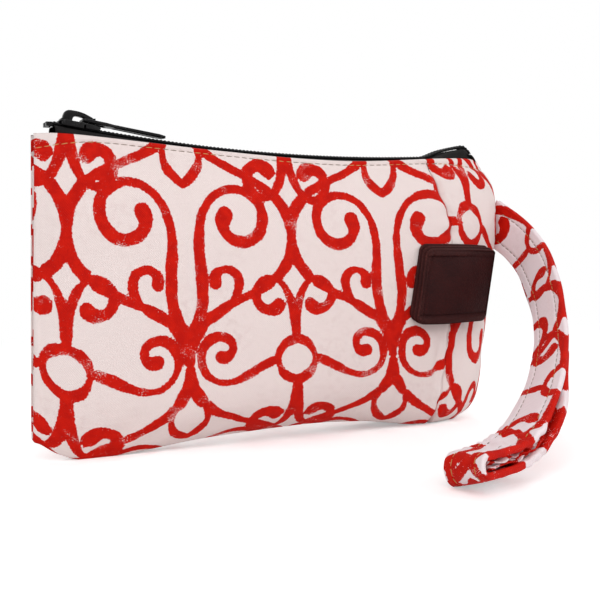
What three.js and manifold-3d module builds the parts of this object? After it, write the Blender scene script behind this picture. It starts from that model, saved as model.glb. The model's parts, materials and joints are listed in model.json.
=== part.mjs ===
// Wristlet pouch: a stuffed, printed cotton pouch with a coil zip along its top,
// a padded leather plate wrapped round its full end, and a flat folded wrist strap.
//
// Millimetres, +Z up. +X runs along the pouch to the end that carries the strap,
// -Y faces the front panel. Inside this file X is counted from the middle of the
// pouch. The exported group is shifted so that its origin is the middle of the
// flat foot under the full end, on the surface that the pouch stands on.
import * as THREE from 'three';
import { mergeVertices } from 'three/addons/utils/BufferGeometryUtils.js';
import Module from 'manifold-3d';

const wasm = await Module();
wasm.setup();

// Driving dimensions of the pouch body
const bodyLength = 196.8;       // left edge to the tip of the full end
const bodyHeight = 115.8;       // base to hem at the left edge
const hemSag = 7.8;             // depth of the hem's lowest place
const hemLowX = 27;             // where that is
const hemDropRight = 5.1;       // how much lower the hem is at the full end
const halfBelly = 19.5;         // half thickness where the pouch is fullest
const halfEdge = 3.4;           // half thickness at the left edge
const halfMouth = 11.0;         // half width of the zip opening where it is widest
const halfMouthSlider = 7.2;    // half width of the opening beside the closed slider
const mouthFlare = 7;           // length over which the left edge opens to that width
const halfFoot = 6.5;           // half width of the flat base where the pouch is fullest
const fullestAt = 50;           // x where the straight body turns into the full end
const endQuarter = 57;          // length of the quarter turn from there to the tip
const baseArch = 4.9;           // height of the base over the floor between its feet
const archX = -4;               // where that is
const leftLean = 3.7;           // how much further out the left edge is at the base
const leftCorner = 7.5;         // height that the base corner is rounded up at the left
const footLeft = [-86, -72];    // x of the flat foot under the left end
const footRight = [58, 74];     // x of the flat foot under the full end
const bellyHeight = 0.2;        // share of the height where the wall is upright
const tipRounding = 22;         // how far the full end's tip is rounded back at the base
const turnRows = 4;             // rows of a wall spent on the turn at the base
const wallRows = 10;            // rows from there up to the hem

// Cloth, fleece and tape
const clothThickness = 1.0;
const fleeceThickness = 1.6;
const liningThickness = 0.6;
const tapeThickness = 0.5;
const leatherThickness = 1.6;
const layerGap = 0.3;           // clearance between layers and across seams
const zipTuck = 7.5;            // depth of zip tape behind the hem
const fleeceRowsBelowHem = 1;   // the fleece stops short of the hem
const liningBelowHem = 3.5;     // the lining stops this far under the hem
const gussetFold = 11;          // depth of the left gusset's inward fold

// Seam between the front panel and the end gusset
const seamTop = 58.7;           // x at the hem
const seamBulge = 68;           // x where the strap pulls it outwards
const seamBase = 58;            // x at the base

// Zip chain, sewn on a shallow arc that sags between its ends
const chainLowX = 27;           // x of the lowest point
const chainLowDrop = 6.25;      // its depth under the body height, to mid chain
const chainRise = 8.2;          // climb from there to the slider's closed place
const chainHalfWidth = 3.1;
const chainHalfThickness = 1.15;
const coilUnderside = 0.35;     // the coil's lower face, under mid chain
const chainLeftIn = 6.9;        // from the left edge to the chain's end
const chainRightIn = 13.4;      // from the furthest tip to the chain's other end
const humpStart = 60;           // x where the zip's end starts to be pushed up
const humpPeakX = 82;
const humpHeight = 3.8;         // how far it is pushed up
const tapeShelf = 5.6;          // half width that the tape stays flat for the slider

// Slider and pull
const sliderFromEnd = 9.4;      // chain's end to the slider's middle when the zip is closed
const sliderLength = 15.2;
const sliderHalfWidth = 5.0;
const sliderTopPlate = 0.95;
const sliderBottomPlate = 0.8;
const sliderFlange = 1.2;
const runningGap = 0.3;
const postHalfWidth = 0.35;
const postLength = 3.4;
const bridgeHeight = 4.05;      // over the top plate
const bridgeBar = 1.2;
const bridgeHalfWidth = 1.3;
const bridgeLeft = -6.2;
const bridgeRight = 4.9;
const pullHingeX = 1.1;         // hinge from the slider's middle
const pullHingeOverPlate = 1.1;
const pullThickness = 1.4;
const pullHalfWidth = 3.2;
const pullTipHalfWidth = 2.6;
const pullLength = 31;          // hinge to tip
const pullEyeLength = 7.9;
const pullEyeHalfWidth = 1.7;
const pullRestTilt = 0.9;       // degrees that the pull dips to the chain at rest

// Leather plate round the full end
const plateLeft = 42.6;         // x of its left edge
const plateLength = 38.5;       // along the wall
const plateBottom = 43.5;
const plateHeight = 30;
const plateTilt = 7;            // degrees that its right side hangs down
const plateThickness = 6.2;     // over the cloth
const plateFlank = 2.2;         // slope of its sides, base to face

// Wrist strap
const strapWidth = 19;
const strapThickness = 2.6;
const strapLength = 178;        // seam to the nose of the fold, along the band
const strapRootThickness = 1.0; // pressed flat by the seam
const strapRootGap = 0.45;      // from the end gusset
const strapRootZ = 82;
const strapAxisOut = 3.3;       // swing axis from the end gusset
const strapNose = 4.1;          // half the opening inside the folded end
const strapPress = 8;           // length over which the strap fills out from the seam

const halfLength = bodyLength / 2;
const chainLeft = chainLeftIn - halfLength;
const chainRight = halfLength - chainRightIn;
const sliderRestX = chainLeft + sliderFromEnd;

// Materials as seen in daylight
const paint = (colour, roughness, metalness = 0) =>
  new THREE.MeshStandardMaterial({ color: colour, roughness, metalness });
const printedCloth = () => paint(0xd9c2bd, 0.85);
const whiteCloth = () => paint(0xe4dcd8, 0.9);
const fleeceWhite = () => paint(0xefeeea, 0.95);
const blackTape = () => paint(0x151516, 0.8);
const blackNylon = () => paint(0x1c1c1e, 0.45);
const blackMetal = () => paint(0x202022, 0.35, 0.6);
const oxbloodLeather = () => paint(0x3a1c1d, 0.45);
const foamGrey = () => paint(0x6e6a66, 0.9);

// Smooth curve y(x) through a few points, flat beyond its ends
function curveThrough(points) {
  const slope = points.map((point, i) => {
    const before = points[Math.max(i - 1, 0)];
    const after = points[Math.min(i + 1, points.length - 1)];
    const inner = i > 0 && i < points.length - 1;
    return inner ? (after[1] - before[1]) / (after[0] - before[0]) : 0;
  });
  return (x) => {
    if (x <= points[0][0]) return points[0][1];
    const last = points[points.length - 1];
    if (x >= last[0]) return last[1];
    let i = 0;
    while (x > points[i + 1][0]) i += 1;
    const [x0, y0] = points[i];
    const [x1, y1] = points[i + 1];
    const h = x1 - x0;
    const t = (x - x0) / h;
    const blend = t * t * (3 - 2 * t);
    const ease = t * (1 - t);
    return y0 + (y1 - y0) * blend + h * ease * ((1 - t) * slope[i] - t * slope[i + 1]);
  };
}

const smooth = (t) => {
  const c = Math.min(Math.max(t, 0), 1);
  return c * c * (3 - 2 * c);
};

// Height of the hem along the pouch
const hemHeight = curveThrough([
  [-halfLength, bodyHeight],
  [-0.776 * halfLength, bodyHeight - 0.13 * hemSag],
  [-0.325 * halfLength, bodyHeight - 0.65 * hemSag],
  [0, bodyHeight - 0.93 * hemSag],
  [hemLowX, bodyHeight - hemSag],
  [halfLength - 10, bodyHeight - hemDropRight],
]);

// Height of the base: flat on its two feet, arched between them
const baseHeight = curveThrough([
  [-halfLength - leftLean, leftCorner],
  [footLeft[0] - 8, 0.4 * leftCorner],
  [footLeft[0], 0],
  [footLeft[1], 0],
  [(footLeft[1] + archX) / 2, 0.75 * baseArch],
  [archX, baseArch],
  [(footRight[0] + archX) / 2, 0.7 * baseArch],
  [footRight[0], 0],
]);

function baseZ(x) {
  const onLeftFoot = x >= footLeft[0] && x <= footLeft[1];
  return onLeftFoot || x >= footRight[0] ? 0 : Math.max(baseHeight(x), 0);
}

// Half widths of belly, zip opening and base at a place along the straight body
function bellyHalf(x) {
  const along = Math.min(Math.max((x + halfLength) / (fullestAt + halfLength), 0), 1);
  return halfEdge + (halfBelly - halfEdge) * Math.sin((along * Math.PI) / 2) ** 0.8;
}

const mouthHalf = curveThrough([
  [-halfLength, halfEdge + 0.4],
  [-halfLength + mouthFlare, halfMouthSlider],
  [sliderRestX + sliderLength, halfMouthSlider + 0.3],
  [-20, halfMouth - 0.8],
  [fullestAt, halfMouth],
]);

const footHalf = (x) => (halfFoot * bellyHalf(x)) / halfBelly;

// How far the full end's tip stands back from its furthest reach, by height share
const tipShare = curveThrough([
  [0, 1], [0.045, 0.682], [0.1, 0.536], [0.3, 0.409], [0.66, 0.082], [0.75, 0], [0.9, 0.036],
  [1, 0.409],
]);
const tipInset = (share) => tipRounding * tipShare(share);

// The seam's x by height share
const seamX = curveThrough([
  [0, seamBase], [0.34, seamBase + 5], [0.74, seamBulge], [0.88, seamBulge - 5], [1, seamTop],
]);

// Height share and fullness of a wall at a row, counted up from the base edge
const hemRow = turnRows + wallRows;

function wallRow(row) {
  if (row <= turnRows) {
    const turn = (row / turnRows) * (Math.PI / 2);
    return { share: bellyHeight * (1 - Math.cos(turn)), turn: Math.sin(turn), close: 0 };
  }
  const t = (row - turnRows) / wallRows;
  return { share: bellyHeight + (1 - bellyHeight) * t, turn: 1, close: t ** 1.8 };
}

// The row at which a wall reaches a height share
function rowOfShare(share) {
  if (share < bellyHeight) return (turnRows * Math.acos(1 - share / bellyHeight)) / (Math.PI / 2);
  return turnRows + (wallRows * (share - bellyHeight)) / (1 - bellyHeight);
}

const tipX = (share, inset) => halfLength - tipInset(share) - inset;

// Point of the pouch wall. side is -1 in front and 1 behind, along runs from the
// left edge to the tip, level counts rows from the base edge, inset is the depth.
function wallPoint(side, along, level, inset) {
  const row = wallRow(level);
  const turn = Math.max(((along - fullestAt) / endQuarter) * (Math.PI / 2), 0);
  const reach = tipX(row.share, inset) - fullestAt;
  const lean = leftLean * (1 - row.share) * (1 - smooth((along + halfLength) / 40));
  const x = turn > 0 ? fullestAt + reach * Math.sin(turn) : along - lean;
  const round = Math.cos(turn);
  const place = Math.min(x, fullestAt);
  const belly = bellyHalf(place) * round - inset;
  const foot = footHalf(place) * round - 0.5 * inset;
  const mouth = mouthHalf(place) * round - inset;
  const low = foot + (belly - foot) * row.turn;
  const y = low + (mouth - belly) * row.close;
  const bottom = baseZ(x) + inset;
  const z = bottom + (hemHeight(x) - bottom) * row.share;
  return new THREE.Vector3(x, side * Math.max(y, 0.02), z);
}

// Along-position of the seam between panel and end gusset at a row
function seamAlong(level) {
  const { share } = wallRow(level);
  const reach = tipX(share, 0) - fullestAt;
  return fullestAt + (Math.asin((seamX(share) - fullestAt) / reach) / (Math.PI / 2)) * endQuarter;
}

// Half width inside the pouch at a place and height, under the cloth and a gap
function insideHalf(x, z) {
  const inset = clothThickness + layerGap;
  const share = (z - baseZ(x)) / (hemHeight(x) - baseZ(x));
  const reach = Math.min((x - fullestAt) / (tipX(share, inset) - fullestAt), 1);
  const turn = Math.asin(Math.max(reach, 0)) / (Math.PI / 2);
  const along = x > fullestAt ? fullestAt + turn * endQuarter : x;
  return wallPoint(1, along, rowOfShare(share), inset).y;
}

// Closed solid between two grids of points: outer(u, v) and inner(u, v)
function shell(columns, rows, outer, inner) {
  const position = [];
  const index = [];
  const width = columns + 1;
  for (const face of [outer, inner]) {
    for (let j = 0; j <= rows; j += 1) {
      for (let i = 0; i <= columns; i += 1) position.push(...face(i / columns, j / rows).toArray());
    }
  }
  const back = width * (rows + 1);
  const at = (i, j, side) => side * back + j * width + i;
  const quad = (a, b, c, d) => index.push(a, b, c, a, c, d);
  for (let j = 0; j < rows; j += 1) {
    for (let i = 0; i < columns; i += 1) {
      quad(at(i, j, 0), at(i + 1, j, 0), at(i + 1, j + 1, 0), at(i, j + 1, 0));
      quad(at(i, j, 1), at(i, j + 1, 1), at(i + 1, j + 1, 1), at(i + 1, j, 1));
    }
  }
  for (let i = 0; i < columns; i += 1) {
    quad(at(i, 0, 1), at(i + 1, 0, 1), at(i + 1, 0, 0), at(i, 0, 0));
    quad(at(i, rows, 0), at(i + 1, rows, 0), at(i + 1, rows, 1), at(i, rows, 1));
  }
  for (let j = 0; j < rows; j += 1) {
    quad(at(0, j, 0), at(0, j + 1, 0), at(0, j + 1, 1), at(0, j, 1));
    quad(at(columns, j, 0), at(columns, j, 1), at(columns, j + 1, 1), at(columns, j + 1, 0));
  }
  return outwards(index, position);
}

// Closed solid through a row of section rings, capped at both ends
function loft(rings) {
  const sides = rings[0].length;
  const position = rings.flat().flatMap((point) => point.toArray());
  const index = [];
  for (let k = 0; k + 1 < rings.length; k += 1) {
    for (let i = 0; i < sides; i += 1) {
      const a = k * sides + i;
      const b = k * sides + ((i + 1) % sides);
      index.push(a, b, b + sides, a, b + sides, a + sides);
    }
  }
  const cap = THREE.ShapeUtils.triangulateShape(flatten(rings[0]), []);
  const end = (rings.length - 1) * sides;
  for (const [a, b, c] of cap) {
    index.push(a, c, b);
    index.push(end + a, end + b, end + c);
  }
  return outwards(index, position);
}

// A ring's points in its own plane, for cutting the cap into triangles
function flatten(ring) {
  const origin = ring[0];
  const across = ring[1].clone().sub(origin).normalize();
  const normal = new THREE.Vector3();
  ring.forEach((point, i) => normal.add(point.clone().cross(ring[(i + 1) % ring.length])));
  const up = normal.normalize().clone().cross(across).normalize();
  return ring.map((point) => {
    const offset = point.clone().sub(origin);
    return new THREE.Vector2(offset.dot(across), offset.dot(up));
  });
}

// Geometry whose faces point out, whichever way its grid was wound
function outwards(index, position) {
  let volume = 0;
  const corner = (i) => new THREE.Vector3().fromArray(position, 3 * i);
  for (let i = 0; i < index.length; i += 3) {
    volume += corner(index[i]).dot(corner(index[i + 1]).cross(corner(index[i + 2])));
  }
  if (volume < 0) {
    for (let i = 0; i < index.length; i += 3) {
      [index[i + 1], index[i + 2]] = [index[i + 2], index[i + 1]];
    }
  }
  const geometry = new THREE.BufferGeometry();
  geometry.setAttribute('position', new THREE.Float32BufferAttribute(position, 3));
  geometry.setIndex(index);
  return geometry;
}

const pouch = new THREE.Group();
pouch.position.x = -(footRight[0] + footRight[1]) / 2;

function add(name, geometry, material, parent = pouch) {
  const mesh = new THREE.Mesh(geometry, material);
  mesh.name = name;
  parent.add(mesh);
  return mesh;
}

// A patch of pouch wall: one layer at a depth, from one along-line to another
function wallPatch(side, columns, from, to, lowRow, highRow, inset, thickness) {
  const place = (u, t, depth) => {
    const level = lowRow + (highRow - lowRow) * t;
    return wallPoint(side, from(level) + (to(level) - from(level)) * u, level, depth);
  };
  return shell(
    columns, highRow - lowRow,
    (u, t) => place(u, t, inset),
    (u, t) => place(u, t, inset + thickness),
  );
}

const alongLeft = () => -halfLength;

// Front and back panels, base edge to hem, left edge to the end gusset's seam
for (const [name, side] of [['front_panel', -1], ['back_panel', 1]]) {
  const toSeam = (level) => seamAlong(level) - layerGap / 2;
  add(name, wallPatch(side, 26, alongLeft, toSeam, 0, hemRow, 0, clothThickness), printedCloth());
}

// End gusset, from the front seam round the tip to the back seam
function endGussetPoint(u, t, inset) {
  const tip = fullestAt + endQuarter;
  const level = t * hemRow;
  const seam = seamAlong(level) + layerGap / 2;
  const around = (2 * u - 1) * (tip - seam);
  const side = around < 0 ? -1 : 1;
  const point = wallPoint(side, tip - Math.abs(around), level, inset);
  if (around === 0) point.y = 0;
  return point;
}
add('end_gusset', shell(
  16, hemRow,
  (u, t) => endGussetPoint(u, t, 0),
  (u, t) => endGussetPoint(u, t, clothThickness),
), printedCloth());

// Base panel, inside the base edges of both panels
function basePoint(u, t, depth) {
  const left = -halfLength + 4;
  const right = tipX(0, 0) - 4;
  const x = left + (right - left) * u;
  const turn = x > fullestAt ? Math.asin((x - fullestAt) / (tipX(0, 0) - fullestAt)) : 0;
  const gap = layerGap * (1 + 2 * Math.sin(turn));
  const half = footHalf(Math.min(x, fullestAt)) * Math.cos(turn) - 0.5 * depth - gap;
  return new THREE.Vector3(x, (2 * t - 1) * half, baseZ(x) + depth);
}
const baseColumns = 34;
add('base_panel', shell(
  baseColumns, 2,
  (u, t) => basePoint(u, t, 0),
  (u, t) => basePoint(u, t, clothThickness),
), printedCloth());

// Left gusset, folded inwards between the two panels
function leftGusset() {
  const steps = 8;
  const bottom = baseZ(-halfLength);
  const low = bottom + 5;
  const high = hemHeight(-halfLength) - zipTuck - 2.5;
  const rings = [];
  for (let k = 0; k <= steps; k += 1) {
    const z = low + ((high - low) * k) / steps;
    const row = rowOfShare((z - bottom) / (hemHeight(-halfLength) - bottom));
    const outer = wallPoint(1, -halfLength, row, clothThickness).y - layerGap - 0.05;
    const lip = -halfLength - leftLean * (1 - z / bodyHeight) + 0.4;
    const apex = lip + gussetFold;
    const outline = [
      [lip, -outer], [apex, -0.75], [apex, 0.75], [lip, outer],
      [lip, outer - clothThickness], [apex - 2, 0], [lip, clothThickness - outer],
    ];
    rings.push(outline.map(([x, y]) => new THREE.Vector3(x, y, z)));
  }
  return loft(rings);
}
add('left_gusset', leftGusset(), printedCloth());

// Fleece behind the outer cloth, and the lining inside it
const fleeceInset = clothThickness + layerGap;
const liningInset = fleeceInset + fleeceThickness + layerGap;
const fleeceLeft = () => -halfLength + 8;
const liningLeft = -halfLength + gussetFold + 2;

for (const [name, side] of [['fleece_front', -1], ['fleece_back', 1]]) {
  const toSeam = (level) => seamAlong(level) - 4;
  const top = hemRow - fleeceRowsBelowHem;
  add(name, wallPatch(side, 18, fleeceLeft, toSeam, 1, top, fleeceInset, fleeceThickness),
    fleeceWhite());
}

// Lining half: from its seam on the base's centre line, round the turn and up
const liningTopRow = rowOfShare(1 - liningBelowHem / bodyHeight);

function liningPoint(side, u, row, inset) {
  const tip = fullestAt + endQuarter * 0.93;
  const along = liningLeft + (tip - liningLeft) * u;
  const level = row === hemRow + 1 ? liningTopRow : Math.max(row - 1, 0);
  const point = wallPoint(side, along, level, inset);
  if (row === 0) point.y = (side * layerGap) / 2;
  return point;
}
for (const [name, side] of [['lining_front', -1], ['lining_back', 1]]) {
  const rows = hemRow + 1;
  add(name, shell(
    22, rows,
    (u, t) => liningPoint(side, u, Math.round(t * rows), liningInset),
    (u, t) => liningPoint(side, u, Math.round(t * rows), liningInset + liningThickness),
  ), whiteCloth());
}

// Arc of the zip chain, and its height above it where the end is pushed up
const sliderReach = chainLowX - sliderRestX;
const arcRadius = (sliderReach ** 2 + chainRise ** 2) / (2 * chainRise);
const chainLowZ = bodyHeight - chainLowDrop;
const arcCentre = new THREE.Vector3(chainLowX, 0, chainLowZ + arcRadius);
const hump = curveThrough([
  [humpStart, 0], [humpStart + 11, 0.7 * humpHeight], [humpPeakX - 3, humpHeight],
  [humpPeakX, humpHeight], [chainRight + 1, 0.25 * humpHeight],
]);

function chainZ(x) {
  const arc = arcCentre.z - Math.sqrt(arcRadius ** 2 - (x - chainLowX) ** 2);
  const pushed = x > humpStart ? hump(x) : 0;
  return arc + pushed;
}

const chainSteps = 44;
const chainX = (k) => chainLeft + ((chainRight - chainLeft) * k) / chainSteps;

// One row of the nylon coil, beside the groove that the slider's post runs in
function coilRow(side) {
  const inner = postHalfWidth + runningGap;
  const outline = [
    [inner, -coilUnderside], [chainHalfWidth - 0.3, -coilUnderside],
    [chainHalfWidth, 0.3], [chainHalfWidth - 0.5, chainHalfThickness],
    [inner, chainHalfThickness],
  ];
  const rings = [];
  for (let k = 0; k <= chainSteps; k += 1) {
    const x = chainX(k);
    rings.push(outline.map(([y, z]) => new THREE.Vector3(x, side * y, chainZ(x) + z)));
  }
  return loft(rings);
}
add('zip_coil_front', coilRow(-1), blackNylon());
add('zip_coil_back', coilRow(1), blackNylon());

// One zip tape: flat under the coil, then down behind the hem
function zipTape(side) {
  const inner = postHalfWidth + runningGap;
  const rings = [];
  for (let k = 0; k <= chainSteps; k += 1) {
    const x = chainX(k);
    const lip = hemHeight(x) - 1;
    const tuck = hemHeight(x) - zipTuck;
    const outer = Math.max(insideHalf(x, lip) - 0.1, inner + 1.8);
    const low = Math.max(insideHalf(x, tuck) - 0.1, inner + 1.6);
    const shelf = Math.min(tapeShelf, outer);
    const top = chainZ(x) - coilUnderside - layerGap;
    const under = top - tapeThickness;
    const outline = [
      [inner, top], [shelf, top], [outer, Math.min(lip, under - 0.2)], [low, tuck],
      [low - tapeThickness, tuck], [outer - tapeThickness, Math.min(lip, under) - 0.8],
      [Math.min(shelf, outer) - 0.6, under], [inner, under],
    ];
    rings.push(outline.map(([y, z]) => new THREE.Vector3(x, side * y, z)));
  }
  return loft(rings);
}
add('zip_tape_front', zipTape(-1), blackTape());
add('zip_tape_back', zipTape(1), blackTape());

// Stops clamped on the two tapes at the closed end
const stopLength = 2.2;
for (const [name, side] of [['zip_stop_front', -1], ['zip_stop_back', 1]]) {
  const width = chainHalfWidth - postHalfWidth - 2 * runningGap;
  const height = chainHalfThickness + coilUnderside;
  const block = new THREE.BoxGeometry(stopLength, width, height);
  block.deleteAttribute('uv');
  block.deleteAttribute('normal');
  const mesh = add(name, mergeVertices(block), blackMetal());
  const x = chainLeft - layerGap - stopLength / 2;
  mesh.position.set(x, side * (postHalfWidth + runningGap + width / 2),
    chainZ(chainLeft) + (chainHalfThickness - coilUnderside) / 2 - 0.4);
}

// Solid for the boolean library from a closed geometry
function solidOf(geometry) {
  const bare = geometry.clone();
  bare.deleteAttribute('uv');
  bare.deleteAttribute('normal');
  const merged = mergeVertices(bare);
  return new wasm.Manifold(new wasm.Mesh({
    numProp: 3,
    vertProperties: new Float32Array(merged.attributes.position.array),
    triVerts: new Uint32Array(merged.index.array),
  }));
}

function geometryOf(solid) {
  const mesh = solid.getMesh();
  const geometry = new THREE.BufferGeometry();
  geometry.setAttribute('position', new THREE.BufferAttribute(new Float32Array(mesh.vertProperties), 3));
  geometry.setIndex(new THREE.BufferAttribute(new Uint32Array(mesh.triVerts), 1));
  return geometry;
}

const slab = (shape, depth) =>
  new THREE.ExtrudeGeometry(shape, { depth, bevelEnabled: false, curveSegments: 5 });

// Slider outline from above: wide mouth at the left, narrower rounded rear
function sliderOutline() {
  const left = -sliderLength / 2;
  const right = sliderLength / 2;
  const rear = sliderHalfWidth - 0.8;
  const shape = new THREE.Shape();
  shape.moveTo(left + 2.5, -sliderHalfWidth);
  shape.lineTo(0, -sliderHalfWidth);
  shape.lineTo(right - 2.2, -rear);
  shape.quadraticCurveTo(right, -rear, right, -rear + 2.2);
  shape.lineTo(right, rear - 2.2);
  shape.quadraticCurveTo(right, rear, right - 2.2, rear);
  shape.lineTo(0, sliderHalfWidth);
  shape.lineTo(left + 2.5, sliderHalfWidth);
  shape.quadraticCurveTo(left, sliderHalfWidth, left, sliderHalfWidth - 2.5);
  shape.lineTo(left, -sliderHalfWidth + 2.5);
  shape.quadraticCurveTo(left, -sliderHalfWidth, left + 2.5, -sliderHalfWidth);
  return shape;
}

const plateInner = chainHalfThickness + runningGap;
const plateTop = plateInner + sliderTopPlate;

// Slider body: two plates held by a post, with flanges over the coil and a bridge
function sliderBody() {
  const outline = sliderOutline();
  const top = slab(outline, sliderTopPlate + plateInner);
  const channelHalf = chainHalfWidth + runningGap;
  const channel = new THREE.BoxGeometry(sliderLength + 2, 2 * channelHalf, 2 * plateInner);
  const bottom = slab(outline, sliderBottomPlate).translate(0, 0, -plateInner - sliderBottomPlate);
  const post = new THREE.BoxGeometry(postLength, 2 * postHalfWidth, 2 * plateInner + 0.4);
  post.translate(-sliderLength / 2 + 1.2 + postLength / 2, 0, 0);
  const arch = new THREE.Shape();
  const crown = plateTop + bridgeHeight;
  arch.moveTo(bridgeLeft, plateTop - 0.2);
  arch.lineTo(bridgeLeft, crown - 2.6);
  arch.quadraticCurveTo(bridgeLeft, crown, bridgeLeft + 2.8, crown);
  arch.lineTo(bridgeRight - 4.2, crown - 0.3);
  arch.quadraticCurveTo(bridgeRight, crown - 0.9, bridgeRight, plateTop + 1.2);
  arch.lineTo(bridgeRight, plateTop - 0.2);
  arch.lineTo(bridgeRight - bridgeBar, plateTop - 0.2);
  arch.lineTo(bridgeRight - bridgeBar, plateTop + 1.6);
  arch.quadraticCurveTo(bridgeRight - bridgeBar, crown - 1.9, bridgeRight - 4.4, crown - bridgeBar - 0.2);
  arch.lineTo(bridgeLeft + 3.8, crown - bridgeBar);
  arch.quadraticCurveTo(bridgeLeft + 2.3, crown - bridgeBar, bridgeLeft + 2.3, crown - 2.8);
  arch.lineTo(bridgeLeft + 2.3, plateTop - 0.2);
  const bridge = slab(arch, 2 * bridgeHalfWidth).translate(0, 0, -bridgeHalfWidth);
  bridge.rotateX(Math.PI / 2);
  return solidOf(top)
    .subtract(solidOf(channel))
    .add(solidOf(bottom))
    .add(solidOf(post))
    .add(solidOf(bridge));
}

// The slider and pull hang from the chain arc's centre, and turn about it
const carriage = new THREE.Group();
carriage.position.copy(arcCentre);
carriage.rotation.y = Math.asin(sliderReach / arcRadius);
pouch.add(carriage);

const slider = new THREE.Group();
slider.position.z = -arcRadius;
carriage.add(slider);
add('slider_body', geometryOf(sliderBody()), blackMetal(), slider);

// Pull tab: a flat bar whose eye goes round the bridge
function pullOutline() {
  const bar = pullThickness / 2;
  const shape = new THREE.Shape();
  shape.moveTo(-bar, -pullHalfWidth + 1);
  shape.quadraticCurveTo(-bar, -pullHalfWidth, 1, -pullHalfWidth);
  shape.lineTo(pullEyeLength + 1.4, -pullHalfWidth);
  shape.lineTo(pullEyeLength + 4, -pullTipHalfWidth + 0.5);
  shape.lineTo(pullLength - 3, -pullTipHalfWidth);
  shape.quadraticCurveTo(pullLength, -pullTipHalfWidth, pullLength, 0);
  shape.quadraticCurveTo(pullLength, pullTipHalfWidth, pullLength - 3, pullTipHalfWidth);
  shape.lineTo(pullEyeLength + 4, pullTipHalfWidth - 0.5);
  shape.lineTo(pullEyeLength + 1.4, pullHalfWidth);
  shape.lineTo(1, pullHalfWidth);
  shape.quadraticCurveTo(-bar, pullHalfWidth, -bar, pullHalfWidth - 1);
  const eye = new THREE.Path();
  eye.moveTo(bar, -pullEyeHalfWidth);
  eye.lineTo(bar, pullEyeHalfWidth);
  eye.lineTo(pullEyeLength, pullEyeHalfWidth);
  eye.lineTo(pullEyeLength, -pullEyeHalfWidth);
  shape.holes.push(eye);
  return shape;
}
const pull = add('pull_tab', slab(pullOutline(), pullThickness)
  .translate(0, 0, -pullThickness / 2), blackMetal(), slider);
pull.position.set(pullHingeX, 0, plateTop + pullHingeOverPlate);
pull.rotation.y = THREE.MathUtils.degToRad(pullRestTilt);

// Leather plate: backing, pad and cover, laid on the wall round the full end
const tilt = THREE.MathUtils.degToRad(plateTilt);

function platePatch(margin, depthOuter, depthInner, slope, columns, rows) {
  const place = (u, t, depth, spread) => {
    const edge = margin + spread;
    const across = (plateLength - 2 * edge) * (u - 0.5);
    const up = (plateHeight - 2 * edge) * (t - 0.5);
    const along = plateLeft + plateLength / 2 + across * Math.cos(tilt) + up * Math.sin(tilt);
    const z = plateBottom + plateHeight / 2 + up * Math.cos(tilt) - across * Math.sin(tilt);
    const share = z / (hemHeight(fullestAt) - baseZ(fullestAt));
    return wallPoint(-1, along, rowOfShare(share), -depth);
  };
  return shell(
    columns, rows,
    (u, t) => place(u, t, depthOuter, slope),
    (u, t) => place(u, t, depthInner, 0),
  );
}
const backingTop = layerGap + leatherThickness;
const padTop = plateThickness - leatherThickness - layerGap;
add('plate_backing', platePatch(0, backingTop, layerGap, 0.3, 12, 5), oxbloodLeather());
add('plate_pad', platePatch(1.2, padTop, backingTop + layerGap, 0.8, 12, 5), foamGrey());
add('plate_cover', platePatch(0.6, plateThickness, padTop + layerGap, plateFlank, 12, 5), oxbloodLeather());

// Middle line of the folded strap from its seam to the nose of the fold, in shares
// of its length, and the direction of its width at each point
const strapSwing = new THREE.Group();
strapSwing.position.set(tipX(0.75, 0) + strapAxisOut, 0, strapRootZ);
pouch.add(strapSwing);
const strapSeat = new THREE.Vector3(strapRootGap - strapAxisOut, 0, 0);
const strapLine = [
  { out: [0, 0, 0], width: [0, 0, 1] },
  { out: [0.014, 0, 0], width: [0, 0, 1] },
  { out: [0.0096, -0.0528, -0.0247], width: [0.1, -0.4, 0.9] },
  { out: [0.0028, -0.1011, -0.05], width: [0.13, -0.5, 0.86] },
  { out: [-0.032, -0.1921, -0.1034], width: [0.17, -0.59, 0.79] },
  { out: [-0.0781, -0.2775, -0.1607], width: [0.13, -0.62, 0.77] },
  { out: [-0.1337, -0.3556, -0.2185], width: [0.16, -0.68, 0.71] },
  { out: [-0.1966, -0.4275, -0.2758], width: [0.26, -0.75, 0.61] },
  { out: [-0.268, -0.4938, -0.3309], width: [0.33, -0.81, 0.49] },
  { out: [-0.3478, -0.5539, -0.3854], width: [0.4, -0.85, 0.33] },
  { out: [-0.4449, -0.6051, -0.4253], width: [0.42, -0.9, 0.04] },
  { out: [-0.5225, -0.6365, -0.4275], width: [0.14, -0.97, 0.04] },
];
const strapMiddle = new THREE.CatmullRomCurve3(
  strapLine.map(({ out }) => new THREE.Vector3(...out).multiplyScalar(strapLength).add(strapSeat)),
);

function strapFrame(t) {
  const scaled = t * (strapLine.length - 1);
  const k = Math.min(Math.floor(scaled), strapLine.length - 2);
  const width = new THREE.Vector3(...strapLine[k].width)
    .lerp(new THREE.Vector3(...strapLine[k + 1].width), smooth(scaled - k));
  const forward = strapMiddle.getTangent(t);
  width.addScaledVector(forward, -width.dot(forward)).normalize();
  return { middle: strapMiddle.getPoint(t), forward, width, face: forward.clone().cross(width) };
}

// One section of the band: a flat rounded bar across the strap
function bandSection(centre, width, face, thickness) {
  const half = thickness / 2;
  const side = strapWidth / 2;
  const outline = [
    [-side, 0], [-side + 0.8, half], [side - 0.8, half],
    [side, 0], [side - 0.8, -half], [-side + 0.8, -half],
  ];
  return outline.map(([w, f]) => centre.clone().addScaledVector(width, w).addScaledVector(face, f));
}

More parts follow.
